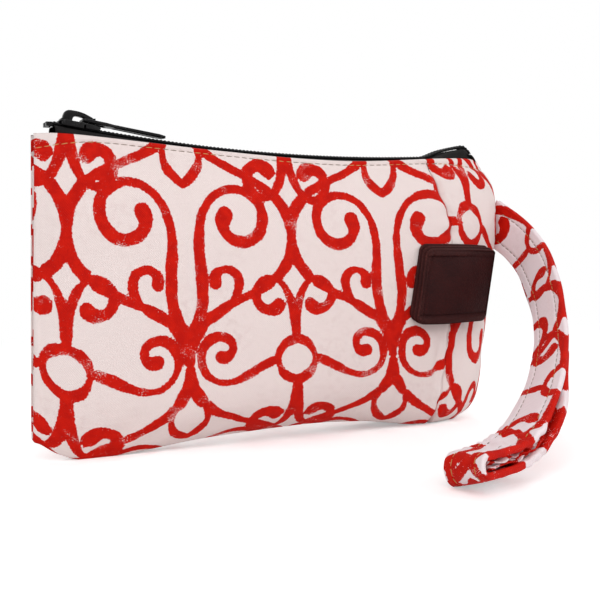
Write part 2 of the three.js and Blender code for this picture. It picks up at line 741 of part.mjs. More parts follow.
// The band runs out on one side of the middle line, round the nose and back
function strapBand() {
  const legSteps = 34;
  const noseSteps = 6;
  const legRings = (side) => {
    const rings = [];
    for (let k = 0; k <= legSteps; k += 1) {
      const t = k / legSteps;
      const { middle, width, face } = strapFrame(t);
      const filled = smooth(middle.distanceTo(strapSeat) / strapPress);
      const thickness = strapRootThickness + (strapThickness - strapRootThickness) * filled;
      const spread = smooth((t - 0.6) / 0.34);
      const closed = thickness / 2 + layerGap / 2;
      const offset = closed + (strapNose - closed) * spread;
      rings.push(bandSection(middle.addScaledVector(face, side * offset), width, face, thickness));
    }
    return rings;
  };
  const { middle, forward, width, face } = strapFrame(1);
  const nose = [];
  for (let k = 1; k < noseSteps; k += 1) {
    const turn = (Math.PI * k) / noseSteps;
    const radial = face.clone().multiplyScalar(Math.cos(turn)).addScaledVector(forward, Math.sin(turn));
    nose.push(bandSection(middle.clone().addScaledVector(radial, strapNose), width, radial, strapThickness));
  }
  const back = legRings(-1).reverse().map((ring) => [ring[0], ring[5], ring[4], ring[3], ring[2], ring[1]]);
  return loft([...legRings(1), ...nose, ...back]);
}
add('wrist_strap', strapBand(), printedCloth(), strapSwing);

export default pouch;
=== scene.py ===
"""Looks of a printed cloth wristlet pouch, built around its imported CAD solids.

The pouch is a stuffed, slightly sagging shell of printed cotton with a coil zip
along its hem, a padded leather plate round its full end and a folded wrist strap.
Shapes are worked out in millimetres from the middle of the pouch, as the solids are,
and every mesh is written in metres with its place in its vertices.
"""

import json
import logging
import math
from dataclasses import dataclass, field, replace
from enum import Enum
from typing import Callable, Sequence

import bmesh
import bpy
import numpy as np
from mathutils import Matrix, Vector
from mathutils.kdtree import KDTree

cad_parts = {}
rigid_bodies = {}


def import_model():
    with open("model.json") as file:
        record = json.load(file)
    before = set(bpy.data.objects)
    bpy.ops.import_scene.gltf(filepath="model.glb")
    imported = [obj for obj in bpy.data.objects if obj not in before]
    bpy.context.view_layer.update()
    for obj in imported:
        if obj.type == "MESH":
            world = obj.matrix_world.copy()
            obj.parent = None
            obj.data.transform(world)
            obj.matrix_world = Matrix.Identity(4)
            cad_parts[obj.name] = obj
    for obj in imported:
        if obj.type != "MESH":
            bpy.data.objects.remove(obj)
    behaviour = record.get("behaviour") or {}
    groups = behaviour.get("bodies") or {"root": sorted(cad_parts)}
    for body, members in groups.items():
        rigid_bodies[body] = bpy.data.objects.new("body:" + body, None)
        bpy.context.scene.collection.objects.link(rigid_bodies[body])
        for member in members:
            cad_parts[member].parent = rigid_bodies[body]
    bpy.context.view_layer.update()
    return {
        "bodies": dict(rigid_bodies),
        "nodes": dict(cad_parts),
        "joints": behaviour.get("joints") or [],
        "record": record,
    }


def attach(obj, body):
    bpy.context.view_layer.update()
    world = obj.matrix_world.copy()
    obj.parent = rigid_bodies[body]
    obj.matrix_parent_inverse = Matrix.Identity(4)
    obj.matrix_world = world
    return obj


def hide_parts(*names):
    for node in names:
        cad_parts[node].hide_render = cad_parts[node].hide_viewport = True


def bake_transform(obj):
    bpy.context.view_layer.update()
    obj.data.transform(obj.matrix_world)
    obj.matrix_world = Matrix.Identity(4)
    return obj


LOG = logging.getLogger("pouch")
MM = 0.001
ROW_SHIFT_MM = 66.0
UV_MM = 100.0
QUARTER = math.pi / 2
Grid = np.ndarray
Colour = tuple[float, float, float, float]
Faces = list[tuple[int, ...]]
Outline = list[tuple[float, float]]
Socket = bpy.types.NodeSocket
Feeds = dict[str, object]


class Side(Enum):
    """Which wall of the pouch a piece belongs to, and the sign of its y."""

    FRONT = -1
    BACK = 1

    @property
    def sign(self) -> float:
        """The sign of its y."""
        return float(self.value)

    @property
    def word(self) -> str:
        """Its name inside a piece's name."""
        return self.name.lower()


class Slot(Enum):
    """The record's material slots."""

    PRINTED = "printed_cloth"
    FLEECE = "fleece"
    LINING = "lining"
    TAPE = "zip_tape"
    COIL = "zip_coil"
    METAL = "black_metal"
    LEATHER = "leather"
    PAD = "pad"


def smooth(t: np.ndarray | float) -> np.ndarray | float:
    """Eases a share between 0 and 1, flat at both ends."""
    c = np.clip(t, 0.0, 1.0)
    return c * c * (3.0 - 2.0 * c)


def unit(v: np.ndarray) -> np.ndarray:
    """Vectors of length one along the last axis."""
    return v / np.maximum(np.linalg.norm(v, axis=-1, keepdims=True), 1e-9)


def run_along(points: np.ndarray) -> np.ndarray:
    """Length of a polyline up to each of its points."""
    return np.concatenate([[0.0], np.cumsum(np.linalg.norm(np.diff(points, axis=0), axis=1))])


def gauss(x: np.ndarray, middle: float, reach: float) -> np.ndarray:
    """A bell of height one round a middle."""
    return np.exp(-((x - middle) / reach) ** 2)


def curve_through(points: Sequence[tuple[float, float]]) -> Callable[[np.ndarray], np.ndarray]:
    """Smooth curve y(x) through a few points, flat beyond its ends.

    Args:
        points: Pairs of x and y, in rising x.

    Returns:
        A function of an array of x.
    """
    px = np.array([p[0] for p in points], float)
    py = np.array([p[1] for p in points], float)
    slope = np.zeros(len(px))
    slope[1:-1] = (py[2:] - py[:-2]) / (px[2:] - px[:-2])

    def value(x: np.ndarray) -> np.ndarray:
        """The curve's height.

        Args:
            x: Places along it.

        Returns:
            The heights.
        """
        x = np.clip(np.asarray(x, float), px[0], px[-1])
        i = np.clip(np.searchsorted(px, x, side="right") - 1, 0, len(px) - 2)
        h = px[i + 1] - px[i]
        t = (x - px[i]) / h
        ease = t * (1.0 - t)
        bend = (1.0 - t) * slope[i] - t * slope[i + 1]
        return py[i] + (py[i + 1] - py[i]) * t * t * (3.0 - 2.0 * t) + h * ease * bend

    return value


# Meshes

def to_row(points_mm: np.ndarray) -> np.ndarray:
    """Points in pouch millimetres as points in the row frame, in metres."""
    return (np.asarray(points_mm, float).reshape(-1, 3) - (ROW_SHIFT_MM, 0.0, 0.0)) * MM


@dataclass
class Patchwork:
    """Vertices, faces, UVs and attributes of one mesh while it is gathered."""

    points: list[np.ndarray] = field(default_factory=list)
    faces: Faces = field(default_factory=list)
    uvs: list[np.ndarray] = field(default_factory=list)
    values: dict[str, list[np.ndarray]] = field(default_factory=dict)
    count: int = 0

    def add(self, points: np.ndarray, faces: Sequence[Sequence[int]],
            uv: np.ndarray | None = None, **values: np.ndarray) -> None:
        """Adds a closed part.

        Args:
            points: Its vertices, in pouch millimetres.
            faces: Faces that count from its own first vertex.
            uv: A place on the cloth for each vertex, in millimetres.
            **values: Float attributes, one number for each vertex.
        """
        pts = np.asarray(points, float).reshape(-1, 3)
        first = self.count
        self.points.append(pts)
        self.faces.extend(tuple(int(i) + first for i in face) for face in faces)
        self.uvs.append(np.zeros((len(pts), 2)) if uv is None else np.reshape(uv, (-1, 2)) / UV_MM)
        for name in set(values) | set(self.values):
            held = self.values.setdefault(name, [np.zeros(first)] if first else [])
            given = values.get(name)
            held.append(np.zeros(len(pts)) if given is None else np.asarray(given, float).ravel())
        self.count += len(pts)

    def add_shell(self, outer: Grid, inner: Grid, flat: Grid, **values: np.ndarray) -> None:
        """Adds a closed shell of two grids that share their places on the cloth.

        Args:
            outer: Grid of points that shows.
            inner: Grid of points behind it.
            flat: Grid of places on the cloth, in millimetres.
            **values: Float attributes, one number for each point of a grid.
        """
        rows, columns = outer.shape[:2]
        points = np.concatenate([outer.reshape(-1, 3), inner.reshape(-1, 3)])
        self.add(points, shell_faces(columns, rows), np.tile(flat.reshape(-1, 2), (2, 1)),
                 **{name: np.tile(given, 2) for name, given in values.items()})

    def mesh(self, name: str) -> bpy.types.Mesh:
        """Writes the gathered parts as one Blender mesh.

        Args:
            name: The mesh's name.

        Returns:
            The mesh, shaded smooth, in metres in the row frame.
        """
        mesh = bpy.data.meshes.new(name)
        mesh.from_pydata(to_row(np.concatenate(self.points)).tolist(), [], self.faces)
        loops = np.zeros(len(mesh.loops), np.int32)
        mesh.loops.foreach_get("vertex_index", loops)
        layer = mesh.uv_layers.new(name="UVMap")
        layer.data.foreach_set("uv", np.concatenate(self.uvs)[loops].astype(np.float32).ravel())
        for key, held in self.values.items():
            attribute = mesh.attributes.new(key, "FLOAT", "POINT")
            attribute.data.foreach_set("value", np.concatenate(held).astype(np.float32))
        mesh.polygons.foreach_set("use_smooth", np.ones(len(mesh.polygons), bool))
        mesh.update()
        turn_outwards(mesh)
        return mesh


def one_part(name: str, points: np.ndarray, faces: Faces, uv: np.ndarray | None = None,
             **values: np.ndarray) -> bpy.types.Mesh:
    """A mesh of one closed part.

    Args:
        name: The mesh's name.
        points: Its vertices, in pouch millimetres.
        faces: Its faces.
        uv: A place on the cloth for each vertex, in millimetres.
        **values: Float attributes, one number for each vertex.

    Returns:
        The mesh.
    """
    work = Patchwork()
    work.add(points, faces, uv, **values)
    return work.mesh(name)


def turn_outwards(mesh: bpy.types.Mesh) -> None:
    """Turns a closed mesh's faces to point out.

    Args:
        mesh: The mesh, changed in place.
    """
    work = bmesh.new()
    work.from_mesh(mesh)
    bmesh.ops.recalc_face_normals(work, faces=work.faces)
    work.to_mesh(mesh)
    work.free()


def linked(name: str, data: bpy.types.ID) -> bpy.types.Object:
    """A new object of the scene, at the origin."""
    obj = bpy.data.objects.new(name, data)
    bpy.context.scene.collection.objects.link(obj)
    return obj


def place(name: str, mesh: bpy.types.Mesh, material: bpy.types.Material) -> bpy.types.Object:
    """Puts a mesh in the scene with its finish.

    Args:
        name: The piece's name.
        mesh: Its mesh.
        material: Its finish.

    Returns:
        The object, at the origin.
    """
    obj = linked(name, mesh)
    if not mesh.materials:
        mesh.materials.append(material)
    LOG.info("%s: %d faces", name, len(mesh.polygons))
    return obj


def grid_faces(columns: int, rows: int, first: int = 0) -> Faces:
    """Quads of a grid of points stored row by row.

    Args:
        columns: Number of points in a row.
        rows: Number of rows.
        first: Number of the first point.

    Returns:
        The quads.
    """
    j, i = np.mgrid[0:rows - 1, 0:columns - 1]
    a = (first + j * columns + i).ravel()
    return list(zip(a.tolist(), (a + 1).tolist(), (a + columns + 1).tolist(), (a + columns).tolist()))


def shell_faces(columns: int, rows: int) -> Faces:
    """Faces of a closed shell of two grids, the outer one first.

    Args:
        columns: Number of points in a row.
        rows: Number of rows of each grid.

    Returns:
        The faces of both grids and of the rim between them.
    """
    back = columns * rows
    faces = grid_faces(columns, rows) + [face[::-1] for face in grid_faces(columns, rows, back)]
    for i in range(columns - 1):
        top = (rows - 1) * columns
        faces.append((back + i, back + i + 1, i + 1, i))
        faces.append((top + i, top + i + 1, back + top + i + 1, back + top + i))
    for j in range(rows - 1):
        a, b = j * columns, (j + 1) * columns
        end = columns - 1
        faces.append((a, b, back + b, back + a))
        faces.append((back + a + end, back + b + end, b + end, a + end))
    return faces


def loft_faces(rings: int, sides: int) -> Faces:
    """Faces through a row of section rings, capped at both ends.

    Args:
        rings: Number of rings.
        sides: Points in each ring.

    Returns:
        The faces.
    """
    faces: Faces = []
    for a in range(0, (rings - 1) * sides, sides):
        for i in range(sides):
            n = (i + 1) % sides
            faces.append((a + i, a + n, a + sides + n, a + sides + i))
    end = (rings - 1) * sides
    return faces + [tuple(range(sides - 1, -1, -1)), tuple(range(end, end + sides))]


# The stuffed body

@dataclass
class PouchForm:
    """The pouch's wall as smooth functions, in millimetres from the pouch's middle."""

    half_length: float = 98.4
    height: float = 115.8
    hem_sag: float = 7.8
    hem_low_x: float = 27.0
    hem_drop_right: float = 5.1
    half_belly: float = 19.5
    half_edge: float = 3.4
    half_mouth: float = 11.0
    half_mouth_slider: float = 7.2
    half_foot: float = 6.5
    fullest_at: float = 50.0
    end_quarter: float = 57.0
    base_arch: float = 4.9
    left_lean: float = 3.7
    left_corner: float = 7.5
    belly_share: float = 0.2
    tip_rounding: float = 22.0
    chain_low_x: float = 27.0
    chain_drop: float = 6.25
    chain_rise: float = 8.2
    slider_x: float = -82.1
    hump: float = 3.8
    inside: float = 1.3
    turn_rows: int = 4
    wall_rows: int = 10

    def __post_init__(self) -> None:
        """Works out the curves that the wall follows."""
        h, top, sag, arch = self.half_length, self.height, self.hem_sag, self.base_arch
        self.hem = curve_through([
            (-h, top), (-0.776 * h, top - 0.13 * sag), (-0.325 * h, top - 0.65 * sag),
            (0.0, top - 0.93 * sag), (self.hem_low_x, top - sag),
            (h - 10.0, top - self.hem_drop_right)])
        self._base = curve_through([
            (-h - self.left_lean, self.left_corner), (-94.0, 0.4 * self.left_corner), (-86.0, 0.0),
            (-72.0, 0.0), (-38.0, 0.75 * arch), (-4.0, arch), (27.0, 0.7 * arch), (58.0, 0.0)])
        self.mouth = curve_through([
            (-h, self.half_edge + 0.4), (-h + 7.0, self.half_mouth_slider),
            (-66.9, self.half_mouth_slider + 0.3), (-20.0, self.half_mouth - 0.8),
            (self.fullest_at, self.half_mouth)])
        tip = curve_through([(0.0, 1.0), (0.045, 0.682), (0.1, 0.536), (0.3, 0.409),
                             (0.66, 0.082), (0.75, 0.0), (0.9, 0.036), (1.0, 0.409)])
        self.tip_inset = lambda share: self.tip_rounding * tip(share)
        self.seam_x = curve_through([(0.0, 58.0), (0.34, 63.0), (0.74, 68.0), (0.88, 63.0), (1.0, 58.7)])
        self.rise = curve_through([(60.0, 0.0), (71.0, 0.7 * self.hump), (79.0, self.hump),
                                   (82.0, self.hump), (86.0, 0.25 * self.hump)])
        reach = self.chain_low_x - self.slider_x
        self.arc_radius = (reach ** 2 + self.chain_rise ** 2) / (2.0 * self.chain_rise)
        self.arc_z = top - self.chain_drop + self.arc_radius
        self.arc_tilt = math.asin(reach / self.arc_radius)

    @property
    def left(self) -> float:
        """x of the left edge."""
        return -self.half_length

    @property
    def hem_level(self) -> int:
        """The row number of the hem."""
        return self.turn_rows + self.wall_rows

    @property
    def tip(self) -> float:
        """The along-position of the full end's tip."""
        return self.fullest_at + self.end_quarter

    def base_z(self, x: np.ndarray) -> np.ndarray:
        """Height of the base over the floor at x."""
        return np.maximum(self._base(x), 0.0)

    def belly(self, x: np.ndarray) -> np.ndarray:
        """Half thickness of the pouch at x, where it is fullest."""
        along = np.clip((x + self.half_length) / (self.fullest_at + self.half_length), 0.0, 1.0)
        return self.half_edge + (self.half_belly - self.half_edge) * np.sin(along * QUARTER) ** 0.8

    def wall_row(self, level: np.ndarray) -> tuple[np.ndarray, np.ndarray, np.ndarray]:
        """Height share, fullness of the turn and closing of the wall at a level.

        Args:
            level: Rows counted up from the base edge, whole or not.

        Returns:
            The share of the height, the turn from 0 to 1 and the close from 0 to 1.
        """
        angle = np.clip(level / self.turn_rows, 0.0, 1.0) * QUARTER
        t = np.clip((level - self.turn_rows) / self.wall_rows, 0.0, None)
        share = self.belly_share * (1.0 - np.cos(angle)) + (1.0 - self.belly_share) * t
        return share, np.sin(angle), t ** 1.8

    def level_of(self, share: np.ndarray) -> np.ndarray:
        """The level at which the wall reaches a share of its height."""
        low = np.arccos(1.0 - np.clip(share / self.belly_share, 0.0, 1.0)) * self.turn_rows / QUARTER
        high = self.turn_rows + self.wall_rows * (share - self.belly_share) / (1.0 - self.belly_share)
        return np.where(share < self.belly_share, low, high)

    def tip_x(self, share: np.ndarray, inset: np.ndarray | float = 0.0) -> np.ndarray:
        """x of the full end's tip at a share of the height."""
        return self.half_length - self.tip_inset(share) - inset

    def wall(self, side: np.ndarray | float, along: np.ndarray, level: np.ndarray,
             inset: np.ndarray | float = 0.0) -> np.ndarray:
        """Points of the wall.

        Args:
            side: -1 in front and 1 behind.
            along: Runs from the left edge to the tip of the full end.
            level: Rows counted up from the base edge.
            inset: Depth under the outer face.

        Returns:
            Points in millimetres, in the last axis.
        """
        along, level = np.broadcast_arrays(np.asarray(along, float), np.asarray(level, float))
        share, fill, close = self.wall_row(level)
        turn = np.maximum((along - self.fullest_at) / self.end_quarter * QUARTER, 0.0)
        reach = self.tip_x(share, inset) - self.fullest_at
        lean = self.left_lean * (1.0 - share) * (1.0 - smooth((along + self.half_length) / 40.0))
        x = np.where(turn > 0.0, self.fullest_at + reach * np.sin(turn), along - lean)
        narrow = np.cos(turn)
        where = np.minimum(x, self.fullest_at)
        full = self.belly(where)
        belly = full * narrow - inset
        foot = self.half_foot * full / self.half_belly * narrow - 0.5 * inset
        mouth = self.mouth(where) * narrow - inset
        low = foot + (belly - foot) * fill
        y = np.maximum(low + (mouth - belly) * close, 0.02)
        bottom = self.base_z(x) + inset
        z = bottom + (self.hem(x) - bottom) * share
        return np.stack([x, side * y, z], axis=-1)

    def _round_end(self, sine: np.ndarray) -> np.ndarray:
        """Along-position on the round end, by the sine of its turn."""
        return self.fullest_at + np.arcsin(sine) / QUARTER * self.end_quarter

    def seam_along(self, level: np.ndarray) -> np.ndarray:
        """Along-position of the seam between a panel and the end gusset."""
        share = self.wall_row(level)[0]
        reach = self.tip_x(share) - self.fullest_at
        return self._round_end((self.seam_x(share) - self.fullest_at) / reach)

    def inside_half(self, x: np.ndarray, z: np.ndarray) -> np.ndarray:
        """Half width inside the pouch's cloth and seam.

        Args:
            x: Place along the pouch.
            z: Height.

        Returns:
            The half widths, in millimetres.
        """
        share = (z - self.base_z(x)) / (self.hem(x) - self.base_z(x))
        sine = np.clip((x - self.fullest_at) / (self.tip_x(share, self.inside) - self.fullest_at), 0.0, 1.0)
        along = np.where(x > self.fullest_at, self._round_end(sine), x)
        return self.wall(1.0, along, self.level_of(share), self.inside)[..., 1]

    def chain_z(self, x: np.ndarray) -> np.ndarray:
        """Height of the zip chain's middle at x."""
        arc = self.arc_z - np.sqrt(self.arc_radius ** 2 - (x - self.chain_low_x) ** 2)
        return arc + np.where(x > 60.0, self.rise(x), 0.0)

    def outward(self, side: float, along: np.ndarray, level: np.ndarray) -> np.ndarray:
        """Unit normals of the wall, pointing out.

        Args:
            side: -1 in front and 1 behind.
            along: Places from the left edge to the tip.
            level: Rows counted up from the base edge.

        Returns:
            The normals, in the last axis.
        """
        step, rise = 0.4, 0.05
        across = self.wall(side, along + step, level) - self.wall(side, along - step, level)
        up = self.wall(side, along, level + rise) - self.wall(side, along, np.maximum(level - rise, 0.0))
        normal = unit(np.cross(across, up))
        flip = np.sign(np.sum(normal * np.array([0.2, side, 0.0]), axis=-1, keepdims=True))
        return normal * np.where(flip == 0.0, 1.0, flip)


# The print

@dataclass(frozen=True)
class Stroke:
    """One brush stroke of the print: points in cloth millimetres and a half width at each."""

    points: np.ndarray
    half_width: np.ndarray


@dataclass
class ScrollPrint:
    """A traditional wrought-iron lattice: an ogee net filled with scrolls, rings and buds.

    The repeat is `across` by `up` millimetres. Every motif is drawn for its right half
    and mirrored. Cells at the repeat's corners hold a lyre of outward volutes, and the
    cells half a repeat away hold a rosette of scrolls round a ring.
    """

    across: float = 82.0
    up: float = 92.0
    brush: float = 1.9
    fine_brush: float = 1.55
    blob: float = 1.1
    spacing: float = 0.4

    def __post_init__(self) -> None:
        """Draws the strokes and gathers their samples over a repeat and its margins."""
        strokes: list[Stroke] = []
        for cx, cy, motif in self._places():
            for stroke in motif():
                for mirror in (1.0, -1.0):
                    strokes.append(Stroke(stroke.points * (mirror, 1.0) + (cx, cy), stroke.half_width))
        points = np.concatenate([s.points for s in strokes])
        widths = np.concatenate([s.half_width for s in strokes])
        margin = 12.0
        keep = ((points[:, 0] > -margin) & (points[:, 0] < self.across + margin)
                & (points[:, 1] > -margin) & (points[:, 1] < self.up + margin))
        self.samples = points[keep]
        self.widths = widths[keep]
        self.tree = KDTree(len(self.samples))
        for n, (u, v) in enumerate(self.samples):
            self.tree.insert((u, v, 0.0), n)
        self.tree.balance()

    def _places(self) -> list[tuple[float, float, Callable[[], list[Stroke]]]]:
        """Centres of the motifs that reach into the repeat from any side."""
        found = []
        for i in range(-1, 3):
            for j in range(-1, 3):
                found.append((i * self.across, j * self.up, self._lyre))
                found.append(((i + 0.5) * self.across, (j + 0.5) * self.up, self._rosette))
        return found

    def _line(self, points: np.ndarray, width: float, blob_at_end: bool = False) -> Stroke:
        """A stroke along a polyline, sampled evenly, with a fat end where asked.

        Args:
            points: The polyline.
            width: Half width of the brush.
            blob_at_end: Whether the brush was pressed at the end.

        Returns:
            The stroke.
        """
        run = run_along(points)
        count = max(int(run[-1] / self.spacing), 2)
        at = np.linspace(0.0, run[-1], count)
        drawn = np.stack([np.interp(at, run, points[:, k]) for k in (0, 1)], axis=1)
        widths = width + 0.35 * np.sin(at / run[-1] * math.pi * 3.0 + points[0, 0])
        if blob_at_end:
            widths = widths + self.blob * smooth((at - run[-1] + 7.0) / 6.0)
        return Stroke(drawn, widths)

    @staticmethod
    def _bezier(*corners: tuple[float, float]) -> np.ndarray:
        """Points of a cubic through its four control corners."""
        t = np.linspace(0.0, 1.0, 60)[:, None]
        a, b, c, d = (np.array(p, float) for p in corners)
        return (1 - t) ** 3 * a + 3 * (1 - t) ** 2 * t * b + 3 * (1 - t) * t * t * c + t ** 3 * d

    @staticmethod
    def _volute(centre: tuple[float, float], outer: float, inner: float,
                start: float, sweep: float) -> np.ndarray:
        """Points of a spiral that runs inwards.

        Args:
            centre: Its eye.
            outer: Radius where it starts.
            inner: Radius where it ends.
            start: Angle where it starts, in degrees.
            sweep: Degrees that it turns, negative for clockwise.

        Returns:
            The points.
        """
        t = np.linspace(0.0, 1.0, 90)
        angle = np.radians(start + sweep * t)
        radius = outer + (inner - outer) * t ** 0.85
        return np.stack([centre[0] + radius * np.cos(angle), centre[1] + radius * np.sin(angle)], axis=1)

    def _net(self) -> list[Stroke]:
        """The right half of one ogee cell: two curves that meet its neighbours."""
        w = self.across / 2.0
        return [self._line(self._bezier((0.0, h), (0.0, 0.4 * h), (w, 0.6 * h), (w, 0.0)), self.brush)
                for h in (self.up / 2.0, -self.up / 2.0)]

    def _lyre(self) -> list[Stroke]:
        """A lyre with outward volutes, a bud over them and curls at its foot."""
        stem = self._bezier((0.0, -36.0), (11.0, -24.0), (2.0, -8.0), (6.0, 5.0))
        sweep = self._bezier((6.0, 5.0), (9.0, 16.0), (22.0, 21.0), (29.0, 11.0))
        volute = self._volute((20.0, 5.0), 10.8, 5.2, 33.0, -235.0)
        foot = self._bezier((2.0, -33.0), (9.0, -30.0), (19.0, -27.0), (19.5, -17.0))
        foot_curl = self._volute((14.0, -17.0), 5.5, 3.6, 0.0, 190.0)
        bud = self._bezier((0.0, 17.0), (9.5, 23.0), (8.5, 30.0), (0.0, 40.0))
        link = self._bezier((0.0, 40.0), (0.0, 44.0), (0.0, 48.0), (0.0, 53.0))
        return self._net() + [
            self._line(np.concatenate([stem, sweep[1:], volute[1:]]), self.brush, True),
            self._line(np.concatenate([foot, foot_curl[1:]]), self.fine_brush, True),
            self._line(bud, self.fine_brush), self._line(link, self.fine_brush)]

    def _rosette(self) -> list[Stroke]:
        """A ring with scrolls that leave it up, down and sideways."""
        ring = self._volute((0.0, 0.0), 7.4, 7.4, -90.0, 180.0)
        high = np.concatenate([self._bezier((0.0, 7.4), (0.0, 18.0), (2.0, 30.0), (9.5, 30.5)),
                               self._volute((9.5, 23.5), 7.0, 4.4, 90.0, -225.0)[1:]])
        low = np.concatenate([self._bezier((0.0, -7.4), (0.0, -18.0), (3.0, -33.0), (11.0, -32.0)),
                              self._volute((10.5, -25.0), 7.0, 4.4, -86.0, 225.0)[1:]])
        side = np.concatenate([self._bezier((7.4, 0.0), (15.0, -1.0), (21.0, -8.0), (29.0, -7.0)),
                               self._bezier((29.0, -7.0), (41.0, -4.0), (38.0, 11.0), (28.5, 9.5))[1:],
                               self._bezier((28.5, 9.5), (22.5, 8.0), (24.5, 1.0), (29.5, 2.5))[1:]])
        return [self._line(ring, self.fine_brush), self._line(high, self.fine_brush, True),
                self._line(low, self.brush, True), self._line(side, self.fine_brush, True)]

    def ink(self, cloth: np.ndarray) -> np.ndarray:
        """How far cloth points lie outside the nearest stroke.

        Args:
            cloth: Points of the cloth, in millimetres.

        Returns:
            Distances in millimetres, negative inside a stroke.
        """
        reduced = np.mod(np.asarray(cloth, float).reshape(-1, 2), (self.across, self.up))
        found = np.empty(len(reduced))
        for n, (u, v) in enumerate(reduced):
            _, index, gap = self.tree.find((u, v, 0.0))
            found[n] = gap - self.widths[index]
        return found


# Finishes

@dataclass
class Weaver:
    """Adds nodes to one tree with few words."""

    tree: bpy.types.NodeTree

    def node(self, kind: str, fed: "Sequence | dict" = (), **settings: object) -> bpy.types.Node:
        """Adds a node.

        Args:
            kind: Its type.
            fed: What goes into its inputs, in their order or by their names.
            **settings: Its plain properties.

        Returns:
            The node.
        """
        made = self.tree.nodes.new(kind)
        for key, value in settings.items():
            setattr(made, key, value)
        self.fill(made, fed)
        return made

    def fill(self, node: bpy.types.Node, fed: "Sequence | dict") -> None:
        """Feeds several inputs of a node, in their order or by their names."""
        for key, value in fed.items() if isinstance(fed, dict) else enumerate(fed):
            self.feed(node.inputs[key], value)

    def feed(self, socket: Socket, value: "Socket | float | Sequence[float]") -> None:
        """Links a socket into another, or sets its number or colour.

        Args:
            socket: The input.
            value: Another node's output, or a number, colour or place.
        """
        if isinstance(value, bpy.types.NodeSocket):
            self.tree.links.new(value, socket)
        else:
            socket.default_value = value

    def math(self, operation: str, *values: "Socket | float", clamp: bool = False) -> Socket:
        """Result of a Math node."""
        return self.node("ShaderNodeMath", values, operation=operation, use_clamp=clamp).outputs[0]

    def ramp(self, value: Socket, low: float, high: float, to_low: float = 0.0,
             to_high: float = 1.0) -> Socket:
        """A value mapped from one range to another, eased and clamped."""
        fed = (value, low, high, to_low, to_high)
        return self.node("ShaderNodeMapRange", fed, interpolation_type="SMOOTHSTEP").outputs[0]

    def mix(self, share: "Socket | float", a: "Socket | Sequence[float]",
            b: "Socket | Sequence[float]", blend: str = "MIX") -> Socket:
        """Colour a turned into colour b by a share."""
        fed = {0: share, 6: a, 7: b}
        return self.node("ShaderNodeMix", fed, data_type="RGBA", blend_type=blend).outputs[2]

    def noise(self, where: Socket, scale: float, detail: float = 3.0, rough: float = 0.55) -> Socket:
        """A noise value at a place."""
        fed = {"Vector": where, "Scale": scale, "Detail": detail, "Roughness": rough}
        return self.node("ShaderNodeTexNoise", fed).outputs["Fac"]

    def stretch(self, where: Socket, scale: Sequence[float]) -> Socket:
        """A place scaled along its axes."""
        return self.node("ShaderNodeMapping", {"Vector": where, "Scale": scale}).outputs[0]

    def group(self, tree: bpy.types.NodeTree, **fed: "Socket | float") -> list[Socket]:
        """Places a node group with its own values and gives what it puts out."""
        made = self.node("ShaderNodeGroup", node_tree=tree)
        self.fill(made, fed)
        return list(made.outputs)

    def attribute(self, name: str) -> Socket:
        """A float attribute of the mesh."""
        return self.node("ShaderNodeAttribute", attribute_name=name).outputs["Fac"]

    def cloth(self) -> Socket:
        """The place on the cloth, from the UV map."""
        return self.node("ShaderNodeUVMap", uv_map="UVMap").outputs[0]

    def place(self) -> Socket:
        """The place in the object's own coordinates."""
        return self.node("ShaderNodeTexCoord").outputs["Object"]


def srgb(*channels: int) -> Colour:
    """A colour as read from a screen, as the linear numbers that sockets take."""
    shares = [c / 255 for c in channels]
    red, green, blue = (c / 12.92 if c <= 0.04045 else ((c + 0.055) / 1.055) ** 2.4 for c in shares)
    return red, green, blue, 1.0


@dataclass
class GroupMaker:
    """Builds a shader node group once: a place and some numbers in, numbers out."""

    name: str
    numbers: dict[str, float]
    outputs: Sequence[str]

    def build(self, wire: Callable[[Weaver, bpy.types.Node, bpy.types.Node], None]) -> bpy.types.NodeTree:
        """Makes the group, or gives the one that is there.

        Args:
            wire: Draws the inside from the group's input and output nodes.

        Returns:
            The group.
        """
        found = bpy.data.node_groups.get(self.name)
        if found:
            return found
        tree = bpy.data.node_groups.new(self.name, "ShaderNodeTree")
        add = tree.interface.new_socket
        add(name="Place", in_out="INPUT", socket_type="NodeSocketVector")
        for name, value in self.numbers.items():
            add(name=name, in_out="INPUT", socket_type="NodeSocketFloat").default_value = value
        for name in self.outputs:
            add(name=name, in_out="OUTPUT", socket_type="NodeSocketFloat")
        weaver = Weaver(tree)
        wire(weaver, weaver.node("NodeGroupInput"), weaver.node("NodeGroupOutput"))
        return tree


def plain_weave() -> bpy.types.NodeTree:
    """Height of a plain woven cloth with slightly uneven yarns, and a darkening: painted shade in the
    weave's hollows over the uneven yarns' own colour.

    Inputs are the place on the cloth, in tenths of a metre, and the yarns in each centimetre.
    """
    def wire(w: Weaver, source: bpy.types.Node, sink: bpy.types.Node) -> None:
        """Draws the weave from two crossed waves.

        Args:
            w: The group's weaver.
            source: Its input node.
            sink: Its output node.
        """
        where = source.outputs["Place"]
        split = w.node("ShaderNodeSeparateXYZ", [where])
        rate = w.math("MULTIPLY", source.outputs["Yarns"], 10.0 * math.pi)
        shift = w.math("MULTIPLY", w.noise(where, 60.0, 2.0), 2.2)
        waves = [w.math("SINE", w.math("ADD", w.math("MULTIPLY", axis, rate), shift))
                 for axis in split.outputs[:2]]
        checks = w.math("MULTIPLY", *waves)
        slub = w.noise(w.stretch(where, (6.0, 160.0, 1.0)), 5.0, 2.0)
        height = w.math("MULTIPLY_ADD", checks, 0.5, w.math("MULTIPLY", slub, 0.8))
        w.feed(sink.inputs["Height"], height)
        # Painted shade: the weave's hollows, low in the height, are darker; the slub part is the yarns' own
        # uneven colour.
        weave_shade_and_slub = w.math("MULTIPLY_ADD", checks, 0.02, w.ramp(slub, 0.3, 0.7, 0.965, 1.0))
        w.feed(sink.inputs["Shade and slub"], weave_shade_and_slub)

    return GroupMaker("Plain weave", {"Yarns": 22.0}, ("Height", "Shade and slub")).build(wire)


